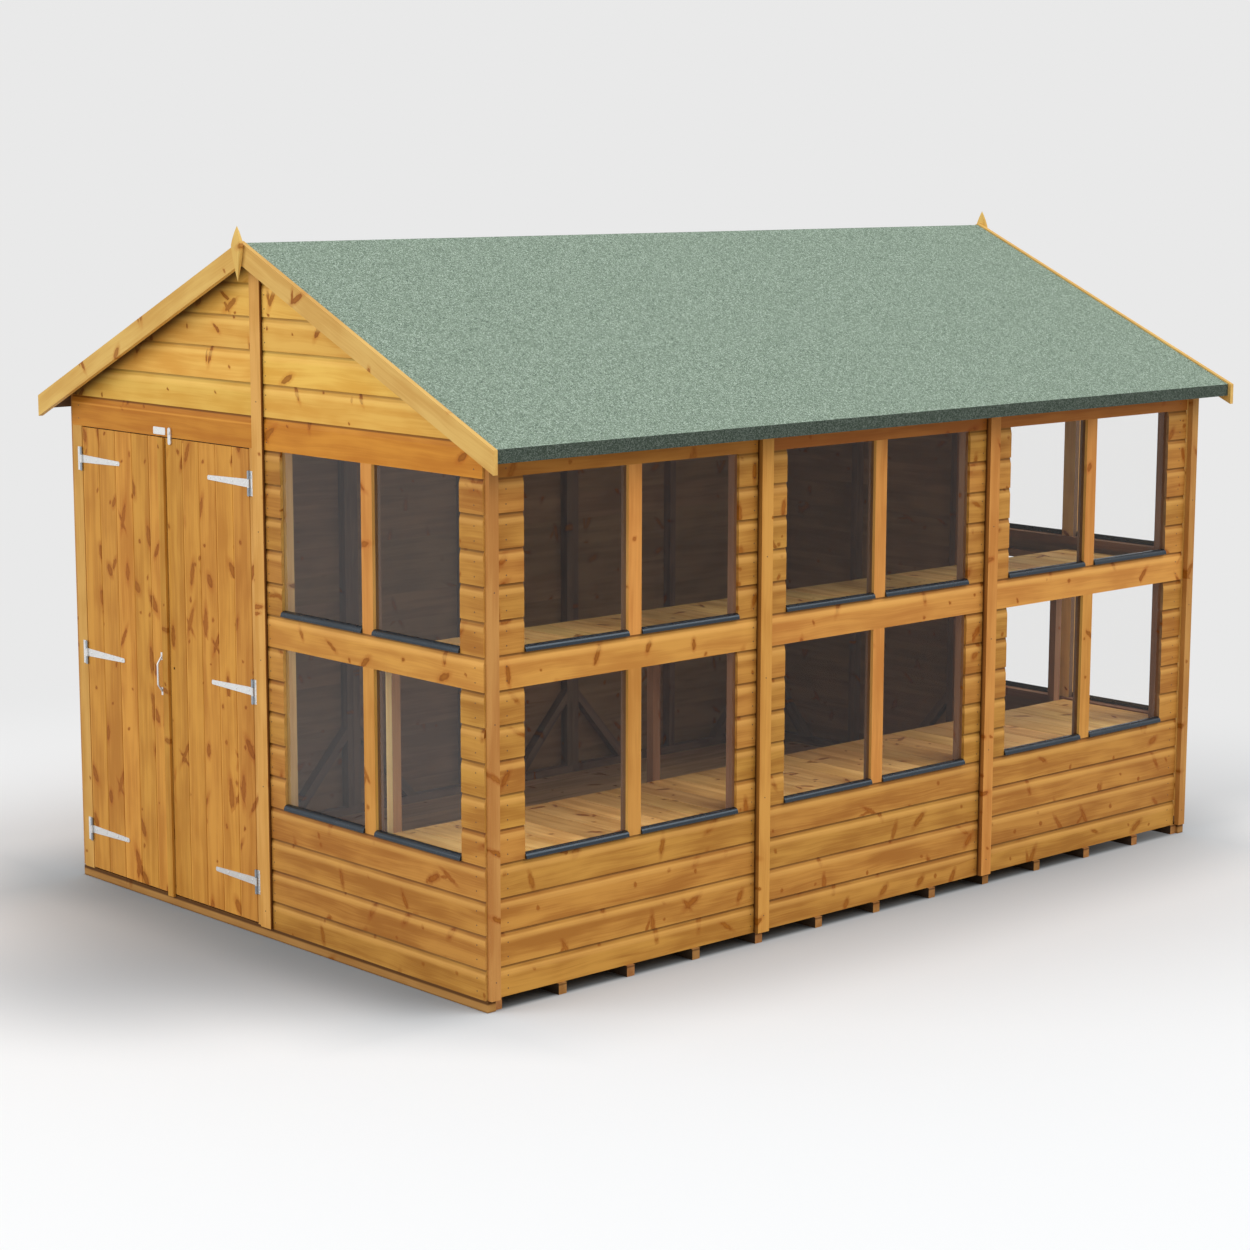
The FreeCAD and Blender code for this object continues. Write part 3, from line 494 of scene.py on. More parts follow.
def bumped(tree, strength, distance, height):
    """Normal of a surface that a height lifts by up to a distance."""
    return add(tree, "Bump", {"Strength": strength, "Distance": distance, "Height": height}).outputs[0]


def surface(tree, shader):
    """Connect a shader to the material's output."""
    output = add(tree, "OutputMaterial")
    tree.links.new(shader.outputs[0], output.inputs["Surface"])


def seen_rays(tree):
    """One for rays that show the background: from the camera, off gloss and through glass."""
    path = add(tree, "LightPath")
    seen = calc(tree, "MAXIMUM", path.outputs["Is Camera Ray"], path.outputs["Is Glossy Ray"])
    return calc(tree, "MAXIMUM", seen, path.outputs["Is Transmission Ray"])


# Timber

def knots(tree, grain, kind, share, slant, grow=1.0):
    """Masks of the cores, halos and dark rims of knots.

    Knots are slanted spindles, at most one in each cell of a scattered pattern. share is the share of
    cells that have one, and some of a paired kind have a lesser twin.
    """
    along, across = kind["cells"]
    ragged = add(tree, "TexNoise", {"Vector": grain, "Scale": KNOT_RAGGED, "Detail": 1.0}).outputs["Color"]
    ragged = vector_calc(tree, "SUBTRACT", ragged, NOISE_MIDDLE)
    torn = vector_calc(tree, "ADD", grain, scaled(tree, ragged, (KNOT_TEAR,) * 3))
    place = scaled(tree, torn, (along, across, 0))
    inputs = {"Vector": place, "Scale": 1.0, "Randomness": KNOT_SCATTER}
    scatter = add(tree, "TexVoronoi", inputs, voronoi_dimensions="2D")
    away = vector_calc(tree, "SUBTRACT", place, scatter.outputs["Position"])
    away = scaled(tree, away, (1 / along, 1 / across, 0))
    red, green, blue = add(tree, "SeparateColor", {"Color": scatter.outputs["Color"]}).outputs
    lean = spread(tree, green, *slant)
    length = times(tree, spread(tree, blue, *KNOT_LENGTHS), grow * kind["length"])
    width = times(tree, spread(tree, green, *KNOT_WIDTHS), grow * kind["width"])
    limits = add(tree, "CombineXYZ", {"X": length, "Y": width, "Z": 1.0}).outputs[0]

    def spindle(offset, angle, part):
        moved = vector_calc(tree, "ADD", away, offset)
        turned = add(tree, "VectorRotate", {"Vector": moved, "Angle": angle}, rotation_type="Z_AXIS")
        ratio = vector_calc(tree, "DIVIDE", turned.outputs[0], limits)
        return calc(tree, "DIVIDE", vector_calc(tree, "LENGTH", ratio), part)

    nearest = spindle((0, 0, 0), lean, 1.0)
    if kind["paired"]:
        twin = spindle(TWIN_OFFSET, calc(tree, "SUBTRACT", TWIN_LEAN, lean), TWIN_SIZE)
        single = times(tree, calc(tree, "LESS_THAN", blue, TWIN_FROM), TWIN_AWAY)
        nearest = calc(tree, "MINIMUM", nearest, calc(tree, "ADD", twin, single))
    present = calc(tree, "LESS_THAN", red, share)
    depth = times(tree, present, spread(tree, red, 1.0, KNOT_FAINT, share))
    core = times(tree, ramp(tree, nearest, *CORE_EDGE), depth)
    halo = times(tree, ramp(tree, nearest, *HALO_EDGE), present)
    return core, halo, ramp(tree, nearest, *RIM_EDGE)


def add_knots(tree, colour, ground, grain, share, slant, grow):
    """Colour of a board with its spike knots and pin knots."""
    spike_core, spike_halo, spike_rim = knots(tree, grain, SPIKE_KNOTS, share, slant, grow)
    pin_core, pin_halo, pin_rim = knots(tree, grain, PIN_KNOTS, PIN_SHARE * share, slant)
    deep = tuple(value * factor for value, factor in zip(ground, HALO))
    colour = lay(tree, colour, calc(tree, "MAXIMUM", spike_halo, pin_halo), HALO_DEPTH, deep)
    rings = ramp(tree, noise(tree, scaled(tree, grain, (RING_SCALE,) * 3), detail=1.0), *RING_EDGE)
    dark = weigh(tree, calc(tree, "MINIMUM", spike_rim, pin_rim), rings, RING_SHARE)
    core = calc(tree, "MAXIMUM", spike_core, pin_core)
    return lay(tree, colour, core, CORE_DEPTH, mix(tree, dark, KNOT_PALE, KNOT))


def wood_figure(tree, grain):
    """Streaks of the grain, and the same with soft blotches added."""
    bend = noise(tree, scaled(tree, grain, BEND_SCALE), detail=1.0)
    shift = add(tree, "CombineXYZ", {"Y": times(tree, bend, BEND_REACH)}).outputs[0]
    flow = vector_calc(tree, "ADD", grain, shift)
    blotch = noise(tree, scaled(tree, grain, BLOTCH_SCALE), detail=2.0)
    broad = noise(tree, scaled(tree, flow, BROAD_SCALE), detail=3.0)
    fine = noise(tree, scaled(tree, flow, FINE_SCALE), detail=2.0)
    streak = weigh(tree, broad, fine, FINE_SHARE)
    return streak, weigh(tree, streak, blotch, BLOTCH_SHARE)


def below_roof(tree):
    """Distance of a place below the underside of the roof boards, square to the slope."""
    corners = [vertex.co for vertex in NODES["roof_boards_right"].data.vertices]
    peak = min(corner.z for corner in corners if corner.x < TOUCH)
    foot = min(corners, key=lambda corner: corner.z)
    slope = (peak - foot.z) / foot.x
    side, _, height = parts(tree, position(tree))
    fall = times(tree, calc(tree, "ABSOLUTE", side), slope)
    drop = calc(tree, "SUBTRACT", calc(tree, "SUBTRACT", peak, fall), height)
    return times(tree, drop, math.cos(math.atan(slope)))


def line_at(tree, distance, place, reach, core=0.0):
    """Soft line where a distance comes to a place: full within core of it, and gone at reach."""
    away = calc(tree, "ABSOLUTE", calc(tree, "SUBTRACT", distance, place))
    return ramp(tree, away, reach, core)


def timber(name, colours, share=0.5, seam_shade=0.0, seam_reach=SEAM_REACH, sole_shade=0.0, scoop_highlight=0.0, joint=0.0,
           bead_highlight=0.0, foot=None, eaves_shade=0.0, knot=1.0, slant=LEAN_ACROSS, varied=0.22, roughness=0.5):
    """Softwood with soft grain, spike knots and pin knots.

    share is the share of places with a knot, knot scales the spike knots, and slant is the range of
    their lean. varied is the spread of brightness between boards. seam_shade paints a shade line near a
    board's top edge, under the next board's lap, and sole_shade paints shade along its bottom edge.
    scoop_highlight paints a pale highlight on the lower edge of its worked top and faint shade above it,
    joint paints a pale highlight on the edge of a matched board and shade in the gap beside it, and
    bead_highlight paints a pale highlight line that far below its top. foot is a colour that takes over
    between two heights above the inner face, used as painted shade, and eaves_shade paints shade on
    the boards close under the roof.
    """
    material, tree = new_material(name)
    grain = attribute(tree, "grain")
    value_luck, hue_luck, joint_luck = parts(tree, attribute(tree, "board"))
    top, bottom, inner = parts(tree, attribute(tree, "rim"))
    late, early = colours
    # pale is the colour of the painted highlights
    pale = tuple(value * lift for value, lift in zip(early, HIGHLIGHT_LIFT))
    streak, figure = wood_figure(tree, grain)
    colour = mix(tree, ramp(tree, figure, *FIGURE_EDGE), late, early)
    colour = add_knots(tree, colour, late, grain, share, slant, knot)
    value = spread(tree, value_luck, 1 - varied / 2, 1 + varied / 2)
    hue = spread(tree, hue_luck, *HUE_RANGE)
    colour = add(tree, "HueSaturation", {"Hue": hue, "Value": value, "Color": colour}).outputs[0]
    # painted shade on the worked top, then a painted highlight at its lower edge
    if scoop_highlight:
        colour = lay(tree, colour, ramp(tree, top, *SCOOP_FALL, 1.0, 0.0), SCOOP_SHADE, BLACK)
        worked = times(tree, ramp(tree, top, *SCOOP_RISE), ramp(tree, top, *SCOOP_FALL))
        colour = lay(tree, colour, worked, scoop_highlight, pale)
    # painted shade line near the top edge, under the next board's lap
    if seam_shade:
        line = line_at(tree, top, SEAM_AT, seam_reach, seam_reach * SEAM_CORE)
        colour = lay(tree, colour, line, seam_shade, SEAM_SHADE)
    # painted shade along the bottom edge
    if sole_shade:
        colour = lay(tree, colour, ramp(tree, bottom, SOLE_REACH, 0.0), sole_shade, SEAM_SHADE)
    # painted highlight on the edge of a matched board, and painted shade in the gap beside it
    if joint:
        shown = calc(tree, "GREATER_THAN", joint_luck, JOINT_FROM)
        line = times(tree, ramp(tree, bottom, *JOINT_LINE), shown)
        colour = lay(tree, colour, line, joint, pale)
        colour = lay(tree, colour, ramp(tree, top, *JOINT_GAP), JOINT_GAP_SHARE * joint, SEAM_SHADE)
    # painted highlight line below the board's top
    if bead_highlight:
        colour = lay(tree, colour, line_at(tree, top, bead_highlight, BEAD_LINE), BEAD_DEPTH, pale)
    # painted shade on the boards close under the roof
    if eaves_shade:
        colour = lay(tree, colour, ramp(tree, below_roof(tree), *EAVES_EDGE), eaves_shade, EAVES_SHADE_TONE)
    # the foot colour is painted shade near the inner face
    if foot:
        tone, start, end = foot
        colour = mix(tree, ramp(tree, inner, start, end), colour, tone)
    bump = bumped(tree, GRAIN_BUMP, GRAIN_DEPTH, streak)
    inputs = {"Base Color": colour, "Roughness": roughness, "Specular IOR Level": TIMBER_GLOSS,
              "Normal": bump}
    surface(tree, add(tree, "BsdfPrincipled", inputs))
    return material


# Other materials

def felt_material(name, shade):
    """Green mineral felt: pale and dark grit on a grey-green ground; shade scales its tones."""
    material, tree = new_material(name)
    place = position(tree)
    grit = add(tree, "TexVoronoi", {"Vector": place, "Scale": FELT_GRIT}, voronoi_dimensions="3D")
    pick, height, _ = add(tree, "SeparateColor", {"Color": grit.outputs["Color"]}).outputs
    cloud = noise(tree, scaled(tree, place, (FELT_CLOUD,) * 3), detail=4.0, roughness=0.6)
    first, second, pale, dark = [tuple(shade * value for value in tone) for tone in FELT_TONES]
    colour = mix(tree, ramp(tree, cloud, *CLOUD_EDGE), first, second)
    colour = lay(tree, colour, calc(tree, "GREATER_THAN", pick, PALE_GRIT_FROM), GRIT_DEPTH, pale)
    colour = lay(tree, colour, calc(tree, "LESS_THAN", pick, DARK_GRIT_TO), GRIT_DEPTH, dark)
    bump = bumped(tree, GRIT_BUMP, GRIT_HEIGHT, height)
    inputs = {"Base Color": colour, "Roughness": FELT_ROUGHNESS, "Specular IOR Level": FELT_GLOSS,
              "Normal": bump}
    surface(tree, add(tree, "BsdfPrincipled", inputs))
    return material


def glass_material(name, ior):
    """Thin clear pane: see-through, with a gloss that grows at low angles, and no dark shadow."""
    material, tree = new_material(name)
    clear = add(tree, "BsdfTransparent", {"Color": GLASS_CLEAR})
    gloss = add(tree, "BsdfGlossy", {"Color": (1, 1, 1, 1), "Roughness": GLASS_ROUGHNESS})
    fresnel = add(tree, "Fresnel", {"IOR": ior}).outputs[0]
    behind = add(tree, "NewGeometry").outputs["Backfacing"]
    share = times(tree, fresnel, calc(tree, "SUBTRACT", 1.0, behind))
    surface(tree, add(tree, "MixShader", {0: share, 1: clear.outputs[0], 2: gloss.outputs[0]}))
    return material


def plain_material(name, colour, roughness, metal=0.0, grime=0.12, scale=180.0, sheen=0.5, tint=(1, 1, 1)):
    """Moulded or plated surface with a faint mottle in colour and gloss."""
    material, tree = new_material(name)
    mottle = noise(tree, scaled(tree, position(tree), (scale,) * 3), detail=3.0, roughness=0.6)
    low = tuple(value * (1 - grime) for value in colour)
    high = tuple(min(1.0, value * (1 + grime)) for value in colour)
    tone = mix(tree, ramp(tree, mottle, *MOTTLE_EDGE), low, high)
    rough = ramp(tree, mottle, *GLOSS_EDGE, roughness * (1 - GLOSS_SPREAD), roughness * (1 + GLOSS_SPREAD))
    bump = bumped(tree, MOTTLE_BUMP, MOTTLE_DEPTH, mottle)
    inputs = {"Base Color": tone, "Roughness": rough, "Metallic": metal, "Specular IOR Level": sheen,
              "Specular Tint": (*tint, 1), "Normal": bump}
    surface(tree, add(tree, "BsdfPrincipled", inputs))
    return material


def floor_gap(tree, place):
    """How far a place on the floor lies beyond the shed's foot, both ways added up."""
    _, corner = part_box("floor_boards")
    moved = vector_calc(tree, "ADD", place, (0, NEAR_FRONT / 2, 0))
    folded = vector_calc(tree, "ABSOLUTE", moved)
    beyond = vector_calc(tree, "SUBTRACT", folded, (corner.x, corner.y + NEAR_FRONT / 2, 0))
    beyond = vector_calc(tree, "MAXIMUM", beyond, (0, 0, 0))
    return vector_calc(tree, "DOT_PRODUCT", beyond, (1, 1, 0))


def floor_tone_with_painted_shadow(tree, place):
    """Colour of the floor with painted shadow close to the shed, before its doors and under it, and painted
    light along the long side towards the front.
    """
    side, run, _ = parts(tree, place)
    # painted contact shadow close to the shed
    tone = mix(tree, ramp(tree, floor_gap(tree, place), 0.0, NEAR_REACH), FLOOR_NEAR_SHADOW, FLOOR_SEEN)
    # painted light along the long side, towards the front
    painted_light = times(tree, ramp(tree, run, *PAINTED_LIGHT_RUN), ramp(tree, side, *PAINTED_LIGHT_SIDE))
    tone = lay(tree, tone, painted_light, PAINTED_LIGHT_SHARE, FLOOR_SEEN)
    # painted shadow pool before the doors
    shadow_pool = vector_calc(tree, "DIVIDE", vector_calc(tree, "SUBTRACT", place, SHADOW_POOL_CENTRE), SHADOW_POOL_RADII)
    tone = lay(tree, tone, ramp(tree, vector_calc(tree, "LENGTH", shadow_pool), 1.0, 0.0), SHADOW_POOL_DEPTH, FLOOR_SHADOW_TONE)
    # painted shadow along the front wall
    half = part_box("floor_joists")[1]
    ahead = calc(tree, "SUBTRACT", -half.y, run)
    wide = calc(tree, "SUBTRACT", half.x, calc(tree, "ABSOLUTE", side))
    front = times(tree, ramp(tree, ahead, FRONT_REACH, 0.0), ramp(tree, wide, -FRONT_REACH / 2, FRONT_REACH))
    tone = lay(tree, tone, front, FRONT_SHADE, FLOOR_SHADOW_TONE)
    # painted shadow under the shed
    inset = calc(tree, "MINIMUM", wide, calc(tree, "SUBTRACT", half.y, calc(tree, "ABSOLUTE", run)))
    return mix(tree, ramp(tree, inset, *UNDER_REACH), tone, FLOOR_UNDER_SHADOW)


def floor_material():
    """Pale floor that keeps the shed's cast shadow, with painted shadow and painted light near the shed, and
    runs out into the backdrop's own tone.
    """
    material, tree = new_material("studio_floor")
    place = position(tree)
    seen = seen_rays(tree)
    matt = add(tree, "BsdfDiffuse", {"Color": mix(tree, seen, FLOOR_BOUNCE, floor_tone_with_painted_shadow(tree, place))})
    glow = add(tree, "Emission", {"Color": (*BACKDROP, 1), "Strength": 1.0})
    distance = vector_calc(tree, "DISTANCE", place, FADE_CENTRE)
    fade = times(tree, ramp(tree, distance, *FADE_REACH), seen)
    surface(tree, add(tree, "MixShader", {0: fade, 1: matt.outputs[0], 2: glow.outputs[0]}))
    return material


# Pieces

def mesh_piece(name, build, material, body):
    """New piece from a bmesh, with its finish, on its body."""
    shape = bmesh.new()
    build(shape)
    bmesh.ops.recalc_face_normals(shape, faces=shape.faces)
    mesh = bpy.data.meshes.new(name)
    shape.to_mesh(mesh)
    shape.free()
    mesh.materials.append(material)
    piece = bpy.data.objects.new(name, mesh)
    bpy.context.scene.collection.objects.link(piece)
    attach(piece, body)
    return piece


def solid_boxes(name):
    """Lowest and highest corners of every solid of a node."""
    mesh = NODES[name].data
    boxes = []
    for polygons in closed_solids(mesh):
        spots = [mesh.vertices[index].co for polygon in polygons
                 for index in mesh.polygons[polygon].vertices]
        low = Vector([min(spot[axis] for spot in spots) for axis in range(3)])
        high = Vector([max(spot[axis] for spot in spots) for axis in range(3)])
        boxes.append((low, high))
    return boxes


def band(shape, first, second, smooth=False):
    """Faces between two rings of equally many points."""
    for index in range(len(first)):
        after = (index + 1) % len(first)
        face = shape.faces.new((first[index], first[after], second[after], second[index]))
        face.smooth = smooth


def fastener(shape, centre, normal, radius, height, profile, sides, smooth):
    """Head of a screw or nail: a profile turned about a face's normal, with a dished crown."""
    turn = normal.to_track_quat("Z", "Y").to_matrix()
    angles = [2 * math.pi * index / sides for index in range(sides)]
    rings = []
    for reach, rise in profile:
        wide = radius * reach
        places = [Vector((wide * math.cos(angle), wide * math.sin(angle), height * rise)) for angle in angles]
        rings.append([shape.verts.new(centre + turn @ place) for place in places])
    for outer, inner in zip(rings, rings[1:]):
        band(shape, outer, inner, smooth)
    shape.faces.new(rings[-1])
    shape.faces.new(list(reversed(rings[0])))


def hinge_heights(leaf):
    """Middle heights of the three straps of a leaf."""
    boxes = solid_boxes(f"{leaf}_door_hinge_straps")
    return sorted((low.z + high.z) / 2 for low, high in boxes)


def screws(name, spots, zinc, body):
    """Piece with a screw head at each of the spots, facing the front."""
    def build(shape):
        for spot in spots:
            fastener(shape, spot, Vector((0, -1, 0)), SCREW_R, SCREW_H, SCREW_PROFILE, SCREW_SIDES, True)

    mesh_piece(name, build, zinc, body)


def hinge_screws(zinc):
    """Screw heads on the straps and plates of the tee hinges."""
    for leaf, body in (("left", "door_left"), ("right", "door_right")):
        low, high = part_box(f"{leaf}_door_hinge_straps")
        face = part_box(f"{leaf}_door_boards")[0].y - HINGE_FACE
        root, toward = (low.x, 1) if leaf == "left" else (high.x, -1)
        spots = []
        for z in hinge_heights(leaf):
            spots += [Vector((root + toward * reach, face, z)) for reach in STRAP_SCREWS]
        screws(f"{leaf}_strap_screws", spots, zinc, body)
    low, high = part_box("hinge_plates")
    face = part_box("left_door_boards")[0].y - HINGE_FACE
    spots = []
    for x in (low.x + PLATE_SCREW_INSET, high.x - PLATE_SCREW_INSET):
        for z in hinge_heights("left"):
            spots += [Vector((x, face, z + rise)) for rise in PLATE_SCREWS]
    screws("plate_screws", spots, zinc, "shed")


def prism(shape, outline, start, run, smooth):
    """Solid swept along run from an outline of points about start; faces listed in smooth are rounded."""
    near = [shape.verts.new(start + point) for point in outline]
    far = [shape.verts.new(start + point + run) for point in outline]
    caps = [shape.faces.new(near), shape.faces.new(list(reversed(far)))]
    for edge in {edge for cap in caps for edge in cap.edges}:
        edge.smooth = False
    for index in range(len(outline)):
        after = (index + 1) % len(outline)
        face = shape.faces.new((near[after], near[index], far[index], far[after]))
        face.smooth = index in smooth


def drip_beads(dark):
    """Rounded dark beads at the foot of the panes, in place of the plain strips."""
    def build(shape):
        turns = [math.pi / 2 * step / BEAD_STEPS for step in range(BEAD_STEPS + 1)]
        for low, high in solid_boxes("window_drip_strips"):
            size = high - low
            start = low.copy()
            across = 0 if size.x < size.y else 1
            start[across] = min(low[across], high[across], key=abs)
            out = outward_of(low, high, across) * size[across]
            run = Vector((0, 0, 0))
            run[1 - across] = size[1 - across]
            up = Vector((0, 0, BEAD_SHARE * size.z))
            rounding = [out * math.sin(turn) ** BEAD_POWER + up * math.cos(turn) ** BEAD_POWER
                        for turn in turns]
            prism(shape, [Vector((0, 0, 0))] + rounding, start, run, range(1, BEAD_STEPS + 1))

    beads = mesh_piece("drip_beads", build, dark, "shed")
    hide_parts("window_drip_strips")


def spear(name, timber_finish, seed):
    """Finial as a slim spear that narrows to a point at both ends."""
    low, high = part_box(name)
    middle = (low + high) / 2
    half_w = (high.x - low.x) / 2
    half_t = (high.y - low.y) / 2
    shoulder = high.z - SPEAR_SHOULDER * (high.z - low.z)

    def ring_at(shape, z):
        reach = (z - shoulder) / ((high.z if z > shoulder else low.z) - shoulder)
        wide = half_w * (1 - reach ** SPEAR_WIDTH_POWER)
        thick = half_t * (1 - reach ** SPEAR_THICK_POWER)
        bevel = min(wide, thick) * SPEAR_BEVEL
        half = ((wide, thick - bevel), (wide - bevel, thick), (bevel - wide, thick), (-wide, thick - bevel))
        outline = half + tuple((-x, -y) for x, y in half)
        return [shape.verts.new((middle.x + x, middle.y + y, z)) for x, y in outline]

    def build(shape):
        below = low.z - shoulder
        above = high.z - shoulder
        heights = [shoulder + below * (1 - step / SPEAR_STEPS) for step in range(1, SPEAR_STEPS)]
        heights += [shoulder + above * step / SPEAR_STEPS for step in range(SPEAR_STEPS)]
        rings = [ring_at(shape, z) for z in heights]
        for lower, upper in zip(rings, rings[1:]):
            band(shape, lower, upper)
        for ring, tip in ((rings[0], low.z), (rings[-1], high.z)):
            point = shape.verts.new((middle.x, middle.y, tip))
            for corner, after in zip(ring, ring[1:] + ring[:1]):
                shape.faces.new((corner, after, point))

    piece = mesh_piece(f"{name}_spear", build, timber_finish, "shed")
    places = np.array([vertex.co for vertex in piece.data.vertices], float)
    axes = (Vector((0, 0, 1)), Vector((1, 0, 0)), Vector((0, 1, 0)))
    grain, luck, rim = grain_of(places, axes, random.Random(seed))
    write_vectors(piece.data, grain=grain, board=np.tile(luck, (len(places), 1)), rim=rim)
    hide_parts(name)


def outward_of(low, high, across):
    """Unit vector out of the shed along an axis, for a piece with these corners."""
    outward = Vector((0, 0, 0))
    outward[across] = math.copysign(1, low[across] + high[across])
    return outward


def is_joint(value, axis):
    """Whether a board end lies on a corner or on a joint of the wall modules."""
    box_low, box_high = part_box("front_window_cladding") if axis == 0 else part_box("right_middle_cladding")
    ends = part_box("right_front_cladding")[0].y
    edges = (box_low[axis], box_high[axis], -box_high[axis], ends, -ends)
    return any(abs(value - edge) < TOUCH for edge in edges)


def nail(shape, spot, low, high, across):
    """Nail head at a spot, on the outer face of a piece with these corners."""
    spot[across] = max(low[across], high[across], key=abs)
    outward = outward_of(low, high, across)
    fastener(shape, spot, outward, NAIL_R, NAIL_PROUD, NAIL_PROFILE, NAIL_SIDES, False)


def board_nails(shape, name):
    """Nails through the boards of a wall, beside the cover strips."""
    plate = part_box("left_front_cladding")[1].z
    axis = 0 if name.startswith(("front", "rear")) else 1
    for low, high in solid_boxes(name):
        if high.z - low.z > UPRIGHT:
            continue
        joints = [value for value in (low[axis], high[axis]) if is_joint(value, axis)]
        if low.z > plate - CLOSE:
            joints = [value for value in joints if abs(value) < CLOSE]
        for joint in joints:
            toward = 1 if joint == low[axis] else -1
            for rise in NAIL_RISES:
                spot = Vector((0, 0, low.z + rise * (high.z - low.z)))
                spot[axis] = joint + toward * NAIL_INSET
                nail(shape, spot, low, high, 1 - axis)


def strip_nails(shape, name):
    """Nails down the middle of the cover strips."""
    for low, high in solid_boxes(name):
        across = 0 if high.x > LONG_SIDE_X or low.x < -LONG_SIDE_X else 1
        count = int((high.z - low.z) / STRIP_NAIL_STEP)
        for step in range(count + 1):
            spot = (low + high) / 2
            spot.z = low.z + STRIP_NAIL_FOOT + step * (high.z - low.z - 2 * STRIP_NAIL_FOOT) / count
            nail(shape, spot, low, high, across)


def cladding_nails(steel):
    """Nail heads in the cladding of every wall and in the cover strips."""
    def build(shape):
        for name in sorted(NODES):
            if name.endswith("_cladding"):
                board_nails(shape, name)
        for name in ("corner_trims", "side_battens", "gable_battens"):
            strip_nails(shape, name)

    mesh_piece("cladding_nails", build, steel, "shed")


def bare_plate(white):
    """Small bare plate with rounded corners over the meeting of the leaves."""
    low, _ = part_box("turn_button")
    boards_low, boards_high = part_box("left_door_boards")
    right = low.x - PLATE_GAP
    middle = Vector((right - PLATE_W / 2, boards_low.y, boards_high.z + PLATE_RISE + PLATE_H / 2))

    def build(shape):
        half_w = PLATE_W / 2 - PLATE_CORNER
        half_h = PLATE_H / 2 - PLATE_CORNER
        rim = []
        for corner, (sx, sz) in enumerate(((1, 1), (-1, 1), (-1, -1), (1, -1))):
            for step in range(PLATE_STEPS + 1):
                angle = math.pi / 2 * (corner + step / PLATE_STEPS)
                x = sx * half_w + PLATE_CORNER * math.cos(angle)
                rim.append((x, sz * half_h + PLATE_CORNER * math.sin(angle)))
        back = [shape.verts.new(middle + Vector((x, 0, z))) for x, z in rim]
        front = [shape.verts.new(middle + Vector((x, -PLATE_T, z))) for x, z in rim]
        shape.faces.new(front)
        shape.faces.new(list(reversed(back)))
        band(shape, back, front)

    mesh_piece("bare_plate", build, white, "shed")


# Finish of the CAD nodes

LINED = ("cladding", "rail", "head", "door_head", "shaded_eave", "gable")
PLAIN = ("felt", "drip", "zinc", "barrel", "keyhole", "glass", "front_glass")
ROUND = ("zinc", "barrel", "keyhole")
# finishes of upright side faces: the strips' flanks and the joists' sides are painted shade, the front
# staging faces painted light
SIDES = {
    ("side_battens", "trim"): "shaded_flank",
    ("gable_battens", "post"): "shaded_flank",
    ("floor_joists", "joist_end"): "shaded_joist_side",
    ("staging_frame", "lit_leg"): "lit_leg_face",
}
# the sides of the window frames take painted shade behind the glass
for module in ("front_window", "rear_window", "right_front", "right_middle", "right_rear"):
    SIDES[f"{module}_frame", "trim"] = "reveal"
for module in ("front_door", "front_window", "rear_window", "rear_solid"):
    for board in ("cladding", "rail", "head", "door_head"):
        SIDES[f"{module}_cladding", board] = "post"
FINISHES = {
    "front_window_panes": "front_glass", "window_drip_strips": "drip",
    "roof_felt_left": "felt", "roof_felt_right": "felt",
    "hinge_plates": "zinc", "hinge_pins": "barrel", "door_handle": "zinc", "rim_lock": "keyhole",
    "turn_button": "zinc", "button_screw": "zinc",
    "left_door_hinge_straps": "zinc", "right_door_hinge_straps": "zinc",
    "left_door_boards": "door", "right_door_boards": "door", "meeting_strip": "door_edge",
    "left_door_ledges": "trim", "right_door_ledges": "trim",
    "front_barge_boards": "barge", "rear_barge_boards": "barge",
    "front_finial": "barge", "rear_finial": "barge",
    "corner_trims": "corner", "side_battens": "trim", "gable_battens": "post", "floor_boards": "flooring",
    "staging_upper_slats": "shelf", "staging_lower_slats": "shelf",
}


def board_finish(name):
    """Function that gives the finish of a board of a timber node from the corners of its box."""
    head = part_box("left_door_boards")[1].z
    plate = solid_boxes("front_door_frame")[0][1].z
    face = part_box("front_window_cladding")[0].y
    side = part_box("right_front_cladding")[1].x

    def cladding(low, high):
        if low[2] > plate - CLOSE:
            return "gable"
        if low[2] > head - CLOSE:
            if name.startswith("front_door"):
                return "door_head"
            # head boards of the long sides take painted shade
            return "head" if name.startswith(("front", "rear")) else "shaded_eave"
        if high[2] - low[2] > UPRIGHT:
            return "post"
        glazed = name.replace("_cladding", "_panes")
        long = max(high[0] - low[0], high[1] - low[1]) > RAIL_LENGTH
        return "rail" if glazed in NODES and long and low[2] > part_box(glazed)[0].z else "cladding"

    def framing(low, high):
        if not name.startswith(("front_window", "rear_window", "right")):
            return "shade"
        # the front window's upright jambs take painted light
        if name == "front_window_frame" and high[0] < JAMB_X and high[2] - low[2] > UPRIGHT:
            return "lit_jamb"
        offsets = (low[1] - face, high[1] + face, high[0] - side)
        return "trim" if min(abs(offset) for offset in offsets) < TOUCH else "sawn"

    def staging(low, high):
        # staging pieces near the front take painted light
        return "lit_leg" if high[1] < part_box("right_front_frame")[0].y + LEG_NEAR else "sawn"

    def joists(low, high):
        front, rear = (corner.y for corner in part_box(name))
        return "joist" if low[1] < front + TOUCH or high[1] > rear - TOUCH else "joist_end"

    if name in ("staging_frame", "floor_joists"):
        return staging if name == "staging_frame" else joists
    if name in FINISHES:
        return lambda low, high: FINISHES[name]
    return cladding if name.endswith("_cladding") else framing


def round_off(node):
    """Smooth shading over the flats of round metal, with true edges kept."""
    for polygon in node.data.polygons:
        polygon.use_smooth = True
    weld = node.modifiers.new("weld", "WELD")
    weld.merge_threshold = WELD_REACH
    split = node.modifiers.new("edges", "EDGE_SPLIT")
    split.split_angle = SMOOTH_ANGLE


